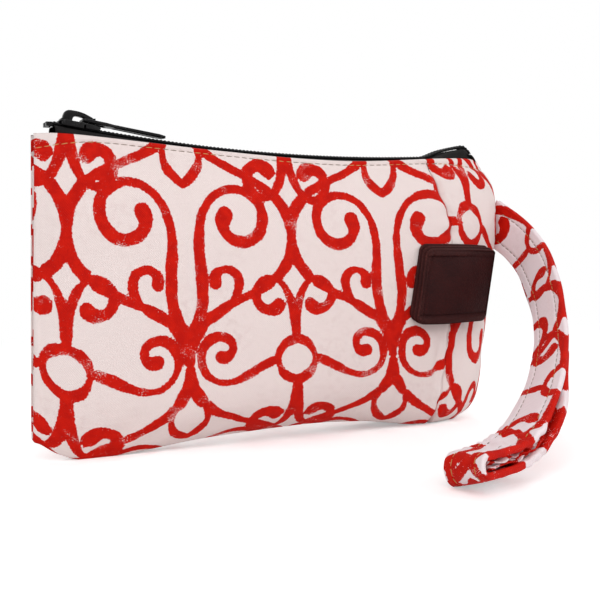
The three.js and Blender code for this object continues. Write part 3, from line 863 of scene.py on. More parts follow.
def brushed_ink() -> bpy.types.NodeTree:
    """Cover of brushed ink: ragged edges, dry speckles where the brush ran thin.

    Inputs are the place on the cloth, in tenths of a metre, the distance outside a stroke
    in millimetres, and how ragged and how dry the ink is.
    """
    def wire(w: Weaver, source: bpy.types.Node, sink: bpy.types.Node) -> None:
        """Draws the edge and the speckles.

        Args:
            w: The group's weaver.
            source: Its input node.
            sink: Its output node.
        """
        where = source.outputs["Place"]
        coarse = w.math("SUBTRACT", w.noise(where, 15.0, 2.0), 0.5)
        fine = w.math("SUBTRACT", w.noise(where, 150.0, 2.0), 0.5)
        rag = w.math("ADD", w.math("MULTIPLY", coarse, 1.9), w.math("MULTIPLY", fine, 1.3))
        edge = w.math("MULTIPLY_ADD", rag, source.outputs["Ragged"], source.outputs["Distance"])
        cover = w.ramp(edge, -0.12, 0.12, 1.0, 0.0)
        dry = w.ramp(w.noise(where, 11.0, 2.0), 0.52, 0.72)
        rim = w.ramp(source.outputs["Distance"], -2.2, -0.2)
        speck = w.noise(w.stretch(where, (1.0, 1.3, 1.0)), 210.0, 2.0, 0.7)
        thin = w.math("ADD", w.math("MULTIPLY", dry, 0.16), w.math("MULTIPLY", rim, 0.05))
        level = w.math("SUBTRACT", 0.73, w.math("MULTIPLY", thin, source.outputs["Dry"]))
        hole = w.ramp(w.math("SUBTRACT", speck, level), 0.0, 0.03)
        w.feed(sink.inputs["Cover"], w.math("MULTIPLY", cover, w.math("SUBTRACT", 1.0, hole)))
        w.feed(sink.inputs["Depth"], w.ramp(w.noise(where, 26.0, 3.0), 0.3, 0.7))

    numbers = {"Distance": 0.0, "Ragged": 0.8, "Dry": 1.0}
    return GroupMaker("Brushed ink", numbers, ("Cover", "Depth")).build(wire)


def handled_wear() -> bpy.types.NodeTree:
    """A soft mask of handling marks and dust, at a scale given in marks for each metre; on the slider and
    the pull its patches also serve as painted highlights.
    """
    def wire(w: Weaver, source: bpy.types.Node, sink: bpy.types.Node) -> None:
        """Draws broad patches broken by fine ones.

        Args:
            w: The group's weaver.
            source: Its input node.
            sink: Its output node.
        """
        fed = {0: source.outputs["Place"], "Scale": source.outputs["Marks"]}
        marks = w.node("ShaderNodeVectorMath", fed, operation="SCALE").outputs[0]
        broad = w.ramp(w.noise(marks, 1.0, 3.0), 0.42, 0.68)
        fine = w.ramp(w.noise(marks, 14.0, 4.0, 0.65), 0.45, 0.65)
        w.feed(sink.inputs["Mask"], w.math("MULTIPLY", broad, fine))

    return GroupMaker("Handled wear", {"Marks": 40.0}, ("Mask",)).build(wire)


@dataclass(frozen=True)
class Finish:
    """A finish: a name, a colour and a gloss, made a material by `material`.

    `bump_depth` is what a height of one raises the surface, in metres.
    """

    name: str
    colour: Colour
    roughness: float
    shine: float = 0.5
    bump_depth: float = 0.00005

    def draw(self, w: Weaver) -> Feeds:
        """Draws the finish's nodes.

        Args:
            w: The material's weaver.

        Returns:
            What goes into the shader, and the bump's `Height`.
        """
        raise NotImplementedError

    def material(self) -> bpy.types.Material:
        """Makes the material."""
        made = bpy.data.materials.new(self.name)
        made.use_nodes = True
        made.diffuse_color = self.colour
        w, shader = Weaver(made.node_tree), made.node_tree.nodes["Principled BSDF"]
        plain = {"Base Color": self.colour, "Roughness": self.roughness, "Specular IOR Level": self.shine}
        w.fill(shader, plain)
        drawn = self.draw(w)
        raised = {"Strength": 1.0, "Distance": self.bump_depth, "Height": drawn.pop("Height")}
        w.fill(shader, {**drawn, "Normal": w.node("ShaderNodeBump", raised).outputs[0]})
        return made


@dataclass(frozen=True)
class PrintedCloth(Finish):
    """Cream cotton with a brushed red print, read from the ink attribute and the UV map."""

    shine: float = 0.1
    bump_depth: float = 0.00006
    ink: Colour = srgb(207, 24, 6)
    deep_ink: Colour = srgb(189, 17, 5)
    shade: Colour = srgb(214, 190, 188)
    yarns: float = 24.0
    ragged: float = 0.75
    dry: float = 1.0

    def draw(self, w: Weaver) -> Feeds:
        """Lays worn cloth, brushed ink and the weave's darkening, painted shade in its hollows with uneven
        yarns, over each other.

        Args:
            w: The material's weaver.

        Returns:
            What goes into the shader, and the bump's height.
        """
        where = w.cloth()
        height, weave_shade_and_slub = w.group(plain_weave(), Place=where, Yarns=self.yarns)
        cover, depth = w.group(brushed_ink(), Distance=w.attribute("ink"), Place=where,
                               Ragged=self.ragged, Dry=self.dry)
        worn = w.group(handled_wear(), Place=where, Marks=2.4)[0]
        cloth = w.mix(w.math("MULTIPLY", worn, 0.35), self.colour, self.shade)
        printed = w.mix(cover, cloth, w.mix(depth, self.ink, self.deep_ink))
        # Multiplies in the weave's painted shade of its hollows and the yarns' uneven colour.
        grey = w.node("ShaderNodeCombineColor", [weave_shade_and_slub] * 3).outputs[0]
        return {"Base Color": w.mix(1.0, printed, grey, "MULTIPLY"),
                "Roughness": w.math("MULTIPLY_ADD", cover, -0.12, self.roughness),
                "Height": w.math("MULTIPLY_ADD", cover, 0.5, height)}


@dataclass(frozen=True)
class WovenCloth(Finish):
    """Plain woven cloth of one colour with uneven yarns, read from the UV map."""

    shine: float = 0.12
    bump_depth: float = 0.00008
    shade: Colour = srgb(205, 198, 194)
    yarns: float = 22.0

    def draw(self, w: Weaver) -> Feeds:
        """Shades the weave's hollows and the worn places.

        Args:
            w: The material's weaver.

        Returns:
            What goes into the shader, and the bump's height.
        """
        where = w.cloth()
        height, weave_shade_and_slub = w.group(plain_weave(), Place=where, Yarns=self.yarns)
        wear = w.group(handled_wear(), Place=where, Marks=3.0)[0]
        hollow_shade = w.ramp(weave_shade_and_slub, 0.95, 1.0, 0.75, 0.0)
        # Painted shade of the weave's hollows, with handling wear.
        worn = w.math("ADD", hollow_shade, w.math("MULTIPLY", wear, 0.3), clamp=True)
        return {"Base Color": w.mix(worn, self.colour, self.shade), "Height": height}


@dataclass(frozen=True)
class Felt(Finish):
    """Needled fleece or felt: a fine tangle with soft hollows, by its own coordinates."""

    bump_depth: float = 0.0003
    shade: Colour = srgb(205, 203, 198)

    def draw(self, w: Weaver) -> Feeds:
        """Tangles fine fibres over soft hollows.

        Args:
            w: The material's weaver.

        Returns:
            What goes into the shader, and the bump's height.
        """
        where = w.place()
        fibres = w.noise(w.stretch(where, (1.0, 1.6, 0.8)), 1400.0, 5.0, 0.7)
        depth = w.math("MULTIPLY_ADD", w.noise(where, 120.0, 2.0), 0.6, fibres)
        # Where the fibres lie low the colour turns to the shade colour: painted shade in the hollows.
        return {"Base Color": w.mix(w.ramp(depth, 0.6, 1.0), self.shade, self.colour),
                "Sheen Weight": 0.2, "Height": depth}


@dataclass(frozen=True)
class Moulded(Finish):
    """Black nylon or enamelled metal with a faint grain and scattered lighter patches: wear from rubbing,
    which on the slider and the pull also serves as painted highlight.
    """

    shine: float = 0.2
    bump_depth: float = 0.00002
    # Lighter colour of the patches: wear from rubbing, and painted highlight on the slider and the pull.
    rubbed_and_highlight: Colour = srgb(70, 70, 74)
    metallic: float = 0.0
    rub_and_highlight: float = 0.35

    def draw(self, w: Weaver) -> Feeds:
        """Lightens and dulls scattered patches over a fine grain: wear from rubbing and painted highlight.

        Args:
            w: The material's weaver.

        Returns:
            What goes into the shader, and the bump's height.
        """
        where = w.place()
        wear = w.group(handled_wear(), Place=where, Marks=160.0)[0]
        grain = w.noise(where, 1800.0, 3.0)
        # The wear patches lightened: wear from rubbing, and on the slider and the pull also painted
        # highlight.
        rubbed_and_highlight = w.math("MULTIPLY", wear, self.rub_and_highlight)
        gloss = w.math("MULTIPLY_ADD", grain, 0.14, self.roughness - 0.07)
        return {"Base Color": w.mix(rubbed_and_highlight, self.colour, self.rubbed_and_highlight), "Metallic": self.metallic,
                "Roughness": w.math("MULTIPLY_ADD", rubbed_and_highlight, 0.2, gloss), "Height": grain}


@dataclass(frozen=True)
class Leather(Finish):
    """Oxblood leather: pebbled grain with painted shade in its creases, randomly darker bends, and lighter
    raised edges that are painted highlight with wear from rubbing.
    """

    shine: float = 0.055
    bump_depth: float = 0.00009
    # Darker colour of random bends, and painted shade in the grain's creases.
    dark: Colour = srgb(36, 17, 18)
    # Lighter colour of the raised edges: painted highlight with wear from rubbing.
    rubbed_and_highlight: Colour = srgb(106, 64, 60)
    grain_scale: float = 850.0

    def draw(self, w: Weaver) -> Feeds:
        """Sets pebbles over broad bends, paints shade into the grain's creases and lightens the raised edges
        as painted highlight with wear from rubbing.

        Args:
            w: The material's weaver.

        Returns:
            What goes into the shader, and the bump's height.
        """
        where = w.place()
        bend = w.noise(where, 90.0, 2.0)
        fed = {"Vector": where, "Scale": self.grain_scale}
        cells = w.node("ShaderNodeTexVoronoi", fed, feature="DISTANCE_TO_EDGE")
        pebble = w.ramp(cells.outputs["Distance"], 0.0, 0.22)
        wear = w.group(handled_wear(), Place=where, Marks=110.0)[0]
        base = w.mix(w.ramp(bend, 0.3, 0.72, 0.0, 0.55), self.colour, self.dark)
        # Painted shade: the grain's creases, low in the bump, are darker.
        crease_shade = w.math("MULTIPLY", w.math("SUBTRACT", 1.0, pebble), 0.5)
        # Lightening of the raised edges: painted highlight, broken up by wear patches.
        rub_and_highlight = w.math("MULTIPLY", w.attribute("raised"), w.ramp(wear, 0.0, 0.6, 0.35, 1.0))
        grain_and_crease_shade = w.mix(crease_shade, base, self.dark)
        return {"Base Color": w.mix(w.math("MULTIPLY", rub_and_highlight, 0.6), grain_and_crease_shade, self.rubbed_and_highlight),
                "Roughness": w.math("MULTIPLY_ADD", bend, 0.16, self.roughness - 0.08),
                "Height": w.math("MULTIPLY_ADD", bend, 2.0, w.math("MULTIPLY", pebble, 0.8))}


@dataclass(frozen=True)
class Thread(Finish):
    """Sewing thread: two plies twisted, tan where the print lies under it."""

    over_ink: Colour = srgb(196, 140, 84)

    def draw(self, w: Weaver) -> Feeds:
        """Bands the plies and tints the thread over ink.

        Args:
            w: The material's weaver.

        Returns:
            What goes into the shader, and the bump's height.
        """
        where = w.place()
        near = w.math("ADD", w.attribute("ink"), w.noise(where, 300.0, 2.0))
        patches = w.ramp(near, 0.0, 1.0, 1.0, 0.0)
        plies = w.node("ShaderNodeTexWave", {"Vector": where, "Scale": 700.0}, wave_type="BANDS",
                       bands_direction="DIAGONAL")
        return {"Base Color": w.mix(patches, self.colour, self.over_ink), "Height": plies.outputs["Fac"]}


@dataclass
class Wardrobe:
    """Every finish of the object, made once."""

    def __post_init__(self) -> None:
        """Makes the materials."""
        black = srgb(14, 13, 14)
        self.printed = PrintedCloth("Printed cotton", srgb(236, 221, 218), 0.82).material()
        # The strap's cloth is lighter than the body's: painted light, making up for the shade on the strap's
        # faces turned away from the key lamp.
        self.strap = PrintedCloth("Printed cotton, strap", srgb(244, 229, 232), 0.82, dry=0.8).material()
        self.lining = WovenCloth("Lining cotton", srgb(228, 220, 216), 0.85).material()
        self.tape = WovenCloth("Zip tape", srgb(22, 20, 20), 0.75, shade=srgb(38, 36, 36), yarns=26.0,
                               bump_depth=0.00014).material()
        self.fleece = Felt("Needled fleece", srgb(239, 238, 234), 0.95).material()
        self.pad = Felt("Grey felt", srgb(112, 108, 104), 0.92, shade=srgb(78, 74, 72)).material()
        self.coil = Moulded("Black nylon", black, 0.5, shine=0.14, rub_and_highlight=0.08).material()
        # The slider's lighter patches are painted highlights as well as wear.
        self.metal = Moulded("Black enamelled zinc", black, 0.3, shine=0.15, rub_and_highlight=0.5,
                             rubbed_and_highlight=srgb(66, 65, 66)).material()
        # The pull's tip is finished in a lighter grey: a painted highlight, with wear from rubbing.
        self.rubbed_and_highlight_metal = Moulded("Black zinc, handled, painted highlight", srgb(40, 41, 44), 0.34, metallic=0.4, shine=0.4,
                                    rub_and_highlight=0.6, rubbed_and_highlight=srgb(112, 112, 116)).material()
        self.leather = Leather("Oxblood leather", srgb(57, 23, 22), 0.45).material()
        self.thread = Thread("Cotton thread", srgb(152, 136, 126), 0.7).material()


# Cloth simulation of the stuffed wall

@dataclass
class SettledWall:
    """The wall's cloth after a simulation, as depths under its smooth form.

    A coarse twin of the wall, from the left edge round the full end and back, is held at
    hem, base, left edges and end seams and under the leather plate, given a little slack
    and blown up gently. `cap` limits how far a point may move.
    """

    form: PouchForm
    pitch: float = 2.6
    pressure: float = 5.0
    slack: float = 0.0045
    cap: float = 1.1
    frames: int = 20
    rows: int = 44
    plate: tuple[float, float, float, float] = (39.0, 83.0, 39.0, 78.0)
    depths: dict[float, Grid] = field(default_factory=dict)

    def __post_init__(self) -> None:
        form = self.form
        reach = form.tip + form.half_length
        self.along = np.linspace(-form.half_length, form.tip, round(reach / self.pitch))
        self.level = np.linspace(0.0, form.hem_level, self.rows)
        self.levels, self.alongs = np.meshgrid(self.level, self.along, indexing="ij")
        self._settle()

    def _wall(self) -> Grid:
        """Grid of the whole wall: rows from base to hem, columns round the pouch."""
        front, back = (self.form.wall(side.sign, self.alongs, self.levels) for side in Side)
        front[:, -1] = 0.5 * (front[:, -1] + back[:, -1])
        return np.concatenate([front, back[:, -2::-1]], axis=1)

    def _held(self, start: Grid) -> np.ndarray:
        """How firmly each point of the twin is held.

        Args:
            start: The twin's points.

        Returns:
            Weights from 0 to 1, row by row.
        """
        left, right, low, high = self.plate
        along, half = self.alongs, len(self.along)
        z = start[:, :half, 2]
        held = np.zeros(start.shape[:2])
        held[:, :half] = 1.0 * ((along > left) & (along < right) & (z > low) & (z < high))
        held[[0, -1], :] = 1.0
        held[:, [0, -1]] = 1.0
        held[-3:-1, :] = 0.6
        for row, seam in enumerate(self.form.seam_along(self.level)):
            column = int(np.abs(self.along - seam).argmin())
            held[row, [column, -1 - column]] = 0.9
        return held.ravel()

    def _settle(self) -> None:
        """Simulates the twin and keeps how far its points moved along the wall's outward way."""
        start = self._wall()
        rows, columns = start.shape[:2]
        mesh = bpy.data.meshes.new("Wall twin")
        mesh.from_pydata(to_row(start).tolist(), [], grid_faces(columns, rows))
        twin = linked("Wall twin", mesh)
        group = twin.vertex_groups.new(name="held")
        for index, weight in enumerate(self._held(start)):
            if weight > 0.0:
                group.add([index], float(weight), "REPLACE")
        self._make_cloth(twin)
        shift = (self._blown(twin) - to_row(start)).reshape(start.shape) / MM
        bpy.data.objects.remove(twin)
        bpy.data.meshes.remove(mesh)
        half = len(self.along)
        for side, part in ((-1.0, shift[:, :half]), (1.0, shift[:, :half - 2:-1])):
            away = np.sum(part * self.form.outward(side, self.alongs, self.levels), axis=-1)
            away[1:-1] = 0.25 * away[:-2] + 0.5 * away[1:-1] + 0.25 * away[2:]
            away[:, 1:-1] = 0.25 * away[:, :-2] + 0.5 * away[:, 1:-1] + 0.25 * away[:, 2:]
            self.depths[side] = -self.cap * np.tanh(away / self.cap)
            LOG.info("settled wall: %.2f to %.2f mm", float(away.min()), float(away.max()))

    def _make_cloth(self, twin: bpy.types.Object) -> None:
        """Makes the twin soft, held by its weights and blown up gently.

        Args:
            twin: The coarse twin, its vertex group filled.
        """
        cloth = twin.modifiers.new("Cloth", "CLOTH")
        made = cloth.settings
        made.quality, made.mass, made.air_damping = 6, 0.2, 2.0
        made.tension_stiffness = made.compression_stiffness = 12.0
        made.shear_stiffness, made.bending_stiffness = 6.0, 0.35
        made.vertex_group_mass, made.pin_stiffness = "held", 1.0
        made.use_pressure, made.uniform_pressure_force = True, self.pressure
        made.shrink_min = -self.slack
        made.effector_weights.gravity = 0.0
        cloth.collision_settings.use_collision = False
        cloth.point_cache.frame_start, cloth.point_cache.frame_end = 1, self.frames

    def _blown(self, twin: bpy.types.Object) -> np.ndarray:
        """Runs the simulation to its last frame.

        Args:
            twin: The coarse twin with its cloth settings.

        Returns:
            Where its vertices are then, in metres.
        """
        scene = bpy.context.scene
        for frame in range(1, self.frames + 1):
            scene.frame_set(frame)
        moved = twin.evaluated_get(bpy.context.evaluated_depsgraph_get()).to_mesh()
        found = np.zeros(len(moved.vertices) * 3, np.float32)
        moved.vertices.foreach_get("co", found)
        scene.frame_set(1)
        return found.reshape(-1, 3)

    def depth(self, side: float, along: Grid, level: Grid) -> Grid:
        """Depth of the settled cloth, between the twin's points.

        Args:
            side: -1 in front and 1 behind.
            along: Places from the left edge to the tip.
            level: Rows counted up from the base edge.

        Returns:
            Depths, positive inwards.
        """
        if side not in self.depths:
            return np.zeros(np.shape(along))
        table = self.depths[side]
        x = (along - self.along[0]) / (self.along[-1] - self.along[0]) * (len(self.along) - 1)
        y = level / self.form.hem_level * (len(self.level) - 1)
        i = np.clip(x.astype(int), 0, len(self.along) - 2)
        j = np.clip(y.astype(int), 0, len(self.level) - 2)
        u, v = smooth(x - i), smooth(y - j)
        low = table[j, i] * (1.0 - u) + table[j, i + 1] * u
        high = table[j + 1, i] * (1.0 - u) + table[j + 1, i + 1] * u
        return low * (1.0 - v) + high * v


# Cloth shell of the pouch

@dataclass
class Relief:
    """Soft dents, puckers and folds of the stuffed cloth, as depths in millimetres."""

    form: PouchForm
    wave: float = 0.35
    pucker: float = 0.42
    pucker_pitch: float = 8.5
    seam_dip: float = 1.15
    crease: float = 1.3
    hem_wave: float = 0.22

    def depth(self, side: float, x: np.ndarray, z: np.ndarray, to_seam: np.ndarray,
              under_hem: np.ndarray) -> np.ndarray:
        """How far the cloth lies inside its smooth form.

        Args:
            side: -1 in front and 1 behind.
            x: Place along the pouch.
            z: Height.
            to_seam: Distance from the end seam, along the cloth.
            under_hem: Distance below the hem.

        Returns:
            Depths, positive inwards.
        """
        phase = 0.0 if side < 0 else 2.1
        waves = (np.sin(x / 24.0 + z / 37.0 + phase) * np.sin(z / 29.0 - x / 43.0 + 1.3)
                 + 0.5 * np.sin(x / 11.0 - z / 17.0 + phase) * np.sin(z / 13.0 + 0.4))
        ease = smooth(under_hem / 14.0) * smooth(to_seam / 10.0)
        found = self.wave * waves * ease
        ripple = np.sin(2 * math.pi * z / self.pucker_pitch + 0.9 * np.sin(z / 6.3) + phase)
        found = found + self.pucker * ripple * np.exp(-np.abs(to_seam) / 4.5)
        found = found + self.seam_dip * gauss(to_seam, 0.0, 1.5)
        found = found + self.crease * (gauss(to_seam, 5.5, 2.4) * gauss(z, 26.0, 15.0))
        hem_ripple = np.sin(2 * math.pi * x / 13.0 + 1.7 * np.sin(x / 19.0) + phase)
        return found + self.hem_wave * hem_ripple * gauss(under_hem, 4.0, 4.0)


def rolled_edge(far: np.ndarray, reach: float) -> np.ndarray:
    """How far an edge has rolled in, from 1 at the edge to 0 where its reach ends."""
    edge = 1.0 - np.clip(far / reach, 0.0, 1.0)
    return 1.0 - np.sqrt(np.maximum(1.0 - edge ** 2, 0.0))


@dataclass
class HemLine:
    """The rolled hem and its row of topstitching."""

    form: PouchForm
    roll: float = 1.3
    groove: float = 0.5

    def __post_init__(self) -> None:
        """Sets how far the stitches run under the hem."""
        h = self.form.half_length
        self.stitch_drop = curve_through([(-h, 5.2), (-h + 8.0, 3.9), (-h + 19.0, 2.3), (-60.0, 1.9),
                                          (40.0, 1.8), (66.0, 2.4), (90.0, 4.6)])

    def depth(self, x: np.ndarray, under_hem: np.ndarray) -> np.ndarray:
        """Depth of the rolled edge and of the stitched groove."""
        rolled = self.roll * rolled_edge(under_hem, self.roll) * 0.75
        return rolled + self.groove * gauss(under_hem, self.stitch_drop(x), 0.6)


def spaced(total: float, step: float, fine_ends: tuple[bool, bool], fine: float = 0.45,
           reach: float = 5.0) -> np.ndarray:
    """Places from 0 to 1 with finer steps near the ends that ask for them.

    Args:
        total: The length, in millimetres.
        step: Plain step.
        fine_ends: Whether the start and the end are fine.
        fine: Fine step.
        reach: How far the fine steps go.

    Returns:
        Shares of the length, rising from 0 to 1.
    """
    count = 2000
    at = np.linspace(0.0, total, count)
    want = np.full(count, step)
    for is_fine, far in zip(fine_ends, (at, total - at)):
        if is_fine:
            want = np.minimum(want, fine + (step - fine) * smooth((far - 0.5 * reach) / reach))
    run = np.concatenate([[0.0], np.cumsum(0.5 * (1.0 / want[1:] + 1.0 / want[:-1]) * np.diff(at))])
    steps = int(math.ceil(run[-1]))
    return np.interp(np.linspace(0.0, run[-1], steps + 1), run, at) / total


@dataclass
class PouchShell:
    """The pouch's printed panels, fleece, lining and gussets."""

    form: PouchForm
    design: ScrollPrint
    wardrobe: Wardrobe
    cloth: float = 1.0
    fleece: float = 1.6
    lining: float = 0.6
    gap: float = 0.3
    step: float = 0.85
    gusset_fold: float = 11.0
    seam_ease: float = 1.15
    floor: float = 0.02
    ARC_AT = 20.0
    FRONT_CUT = (31.0, 12.0)
    BACK_CUT = (64.0, 40.0)
    END_CUT = (20.0, 66.0)
    BASE_CUT = (9.0, 30.0)
    GUSSET_CUT = (41.0, 30.0)

    def __post_init__(self) -> None:
        """Measures the wall's arc once, for the cloth's height."""
        self.relief = Relief(self.form)
        self.hem = HemLine(self.form)
        self.settled = SettledWall(self.form)
        self._levels = np.linspace(0.0, self.form.hem_level, 400)
        self._run = run_along(self.form.wall(-1.0, np.full(400, self.ARC_AT), self._levels))

    def _rows(self) -> np.ndarray:
        """Levels of a panel's rows of points, finer at the hem."""
        shares = spaced(self._run[-1], self.step, (False, True))
        return np.interp(shares * self._run[-1], self._run, self._levels)

    def cloth_height(self, level: np.ndarray) -> np.ndarray:
        """Height up the flat cloth at a level of the wall."""
        return np.interp(level, self._levels, self._run)

    def panel_place(self, side: Side, along: np.ndarray, level: np.ndarray) -> np.ndarray:
        """Places of a panel's points on the printed cloth.

        Args:
            side: Which panel.
            along: Places from the left edge to the tip.
            level: Rows counted up from the base edge.

        Returns:
            Pairs in millimetres, in the last axis.
        """
        cut = self.FRONT_CUT if side is Side.FRONT else self.BACK_CUT
        across = along * -side.sign + self.form.half_length
        return np.stack([across, self.cloth_height(level)], axis=-1) + cut

    def _dent(self, side: float, along: np.ndarray, level: np.ndarray) -> tuple[np.ndarray, ...]:
        """Relief under the smooth form.

        Args:
            side: -1 in front and 1 behind.
            along: Places from the left edge to the tip.
            level: Rows counted up from the base edge.

        Returns:
            The depth, x and the distance under the hem at each point.
        """
        plain = self.form.wall(side, along, level)
        x, z = plain[..., 0], plain[..., 2]
        under = self.form.hem(x) - z
        to_seam = np.abs((along - self.form.seam_along(level)) * self.seam_ease)
        return self.relief.depth(side, x, z, to_seam, under), x, under

    def surface(self, side: float, along: np.ndarray, level: np.ndarray, inset: float,
                outer: bool) -> np.ndarray:
        """Points of a panel's face, with its relief.

        Args:
            side: -1 in front and 1 behind.
            along: From the left edge to the tip.
            level: Rows from the base edge.
            inset: Depth under the smooth form.
            outer: Whether this is the face that shows, with its rolled edges.

        Returns:
            Points in millimetres.
        """
        dent, x, under = self._dent(side, along, level)
        depth = inset + dent + self.settled.depth(side, along, level)
        if outer:
            depth = depth + self.hem.depth(x, under)
            depth = depth + 0.9 * rolled_edge(along + self.form.half_length, 1.4)
        points = self.form.wall(side, along, level, depth)
        points[..., 2] = np.maximum(points[..., 2], self.floor)
        return points

    def panel(self, side: Side) -> bpy.types.Mesh:
        """Front or back panel, from its left edge to the end seam.

        Args:
            side: Which panel.

        Returns:
            Its mesh, with the print's ink distance.
        """
        form = self.form
        shares = spaced(form.half_length + 62.0, self.step, (True, True))
        level, share = np.meshgrid(self._rows(), shares, indexing="ij")
        last = form.seam_along(level) - self.gap / 2
        along = form.left + (last + form.half_length) * share
        outer = self.surface(side.sign, along, level, 0.0, True)
        inner = self.surface(side.sign, along, level, self.cloth, False)
        return self._printed(f"{side.word}_panel", outer, inner, self.panel_place(side, along, level))

    def _printed(self, name: str, outer: Grid, inner: Grid, flat: Grid) -> bpy.types.Mesh:
        """A closed cloth shell with UVs and ink.

        Args:
            name: The mesh's name.
            outer: Grid of points that shows.
            inner: Grid of points behind it.
            flat: Grid of places on the printed cloth, in millimetres.

        Returns:
            The mesh.
        """
        work = Patchwork()
        work.add_shell(outer, inner, flat, ink=self.design.ink(flat))
        return work.mesh(name)

    def end_gusset(self) -> bpy.types.Mesh:
        """The full end, from the front seam round the tip to the back seam."""
        form = self.form
        around = 2.0 * spaced(104.0, self.step, (True, True)) - 1.0
        level, turn = np.meshgrid(self._rows(), around, indexing="ij")
        off = np.abs(turn)
        along = form.tip - off * (form.tip - (form.seam_along(level) + self.gap / 2))
        squeeze = np.where(off < 0.12, 0.6 + 0.4 * smooth((off - 0.02) / 0.1), 1.0)
        faces = []
        for inset, outer in ((0.0, True), (self.cloth, False)):
            front, back = (self.surface(side.sign, along, level, inset, outer) for side in Side)
            grid = np.where((turn < 0.0)[..., None], front, back)
            grid[..., 1] = grid[..., 1] * squeeze
            grid[off < 1e-6, 1] = 0.0
            faces.append(grid)
        u, v = turn * 57.0, self.cloth_height(level)
        tilted = np.stack([u * 0.97 - v * 0.2, v * 0.97 + u * 0.2], axis=-1)
        return self._printed("end_gusset", *faces, tilted + self.END_CUT)

    def base_panel(self) -> bpy.types.Mesh:
        """The narrow panel that the pouch stands on."""
        form = self.form
        foot_tip = float(form.tip_x(np.array(0.0)))
        left, right = form.left + 4.0, foot_tip - 4.0
        x = left + (right - left) * spaced(right - left, 1.6, (True, True))
        t = np.linspace(-1.0, 1.0, 15)
        across, along = np.meshgrid(t, x, indexing="ij")
        turn = np.arcsin(np.clip((along - form.fullest_at) / (foot_tip - form.fullest_at), 0.0, 1.0))
        spare = self.gap * (1.0 + 2.0 * np.sin(turn))
        full = form.half_foot * form.belly(np.minimum(along, form.fullest_at)) / form.half_belly
        grids = []
        for depth in (0.0, self.cloth):
            half = full * np.cos(turn) - 0.5 * depth - spare
            lift = depth + (0.0 if depth else 0.35) * np.abs(across) ** 6
            grids.append(np.stack([along, across * half, form.base_z(along) + lift], axis=-1))
        flat = np.stack([along, across * full], axis=-1) + self.BASE_CUT
        return self._printed("base_panel", *grids, flat)

    def left_gusset(self) -> bpy.types.Mesh:
        """The gusset folded inwards between the panels at the left end."""
        form = self.form
        bottom, top = (float(edge(np.array(form.left))) for edge in (form.base_z, form.hem))
        z, t = np.meshgrid(np.linspace(bottom + 5.0, top - 10.0, 80), np.linspace(-1.0, 1.0, 17),
                           indexing="ij")
        level = form.level_of((z - bottom) / (top - bottom))
        outer = form.wall(1.0, np.full(z.shape, form.left), level, self.cloth)[..., 1] - self.gap - 0.05
        lip = form.left - form.left_lean * (1.0 - z / form.height) + 0.4
        fold = 1.0 - np.abs(t) ** 1.4
        x = lip + (self.gusset_fold - 0.6) * fold + 0.25 * np.sin(z / 7.0) * fold
        grids = [np.stack([x + depth * (1.0 - np.abs(t)) * -0.9,
                           np.sign(t) * (outer - depth) * np.abs(t) ** 1.1, z], axis=-1)
                 for depth in (0.0, self.cloth)]
        return self._printed("left_gusset", *grids, np.stack([t * 12.0, z], axis=-1) + self.GUSSET_CUT)

    def layer(self, name: str, side: Side, inset: float, thick: float, span: tuple[float, float],
              levels: tuple[float, float], to_middle: bool) -> bpy.types.Mesh:
        """A hidden layer of the wall.

        Args:
            name: The mesh's name.
            side: Front or back.
            inset: Depth of its outer face.
            thick: Its thickness.
            span: Along-positions of its ends.
            levels: Its lowest and highest level.
            to_middle: Whether it runs on to the middle of the base.

        Returns:
            The mesh, with UVs.
        """
        form = self.form
        level, share = np.meshgrid(np.linspace(*levels, 40), np.linspace(0.0, 1.0, 40), indexing="ij")
        last = span[1] if to_middle else np.minimum(form.seam_along(level) - 4.0, span[1])
        along = span[0] + (last - span[0]) * share
        soft = self._dent(side.sign, along, level)[0]
        grids = []
        for depth in (inset, inset + thick):
            grid = form.wall(side.sign, along, level, depth + 0.8 * soft)
            if to_middle:
                floor = grid[:1].copy()
                floor[..., 1] = side.sign * self.gap / 2
                grid = np.concatenate([floor, grid])
            grids.append(grid)
        work = Patchwork()
        work.add_shell(*grids, grids[0][..., ::2])
        return work.mesh(name)

    def build(self) -> None:
        """Makes every cloth piece of the pouch and sets it in the frame."""
        form, dress = self.form, self.wardrobe
        panels = {"front_panel": self.panel(Side.FRONT), "back_panel": self.panel(Side.BACK),
                  "end_gusset": self.end_gusset(), "base_panel": self.base_panel(),
                  "left_gusset": self.left_gusset()}
        for node, mesh in panels.items():
            finished(place(f"cloth_{node}", mesh, dress.printed), "pouch", Slot.PRINTED, node)
        inset = self.cloth + self.gap
        deep = inset + self.fleece + self.gap
        top = float(form.level_of(np.array(1.0 - 3.5 / form.height)))
        bag_span = (form.left + self.gusset_fold + 2.0, form.fullest_at + 0.93 * form.end_quarter)
        for side in Side:
            end = side.word
            wadding = self.layer(f"fleece_{end}", side, inset, self.fleece, (form.left + 8.0, 90.0),
                                 (1.0, form.hem_level - 1.0), False)
            finished(place(f"wadding_{end}", wadding, dress.fleece), "pouch", Slot.FLEECE, f"fleece_{end}")
            bag = self.layer(f"lining_{end}", side, deep, self.lining, bag_span, (0.0, top), True)
            finished(place(f"inner_{end}", bag, dress.lining), "pouch", Slot.LINING, f"lining_{end}")


def finished(obj: bpy.types.Object, body: str, slot: Slot, *nodes: str) -> None:
    """Sets a piece in the frame.

    Args:
        obj: The piece.
        body: The body that it rides on.
        slot: Not used.
        *nodes: The CAD nodes that it stands for.
    """
    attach(obj, body)
    if nodes:
        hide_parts(*nodes)


# What repeats along a line

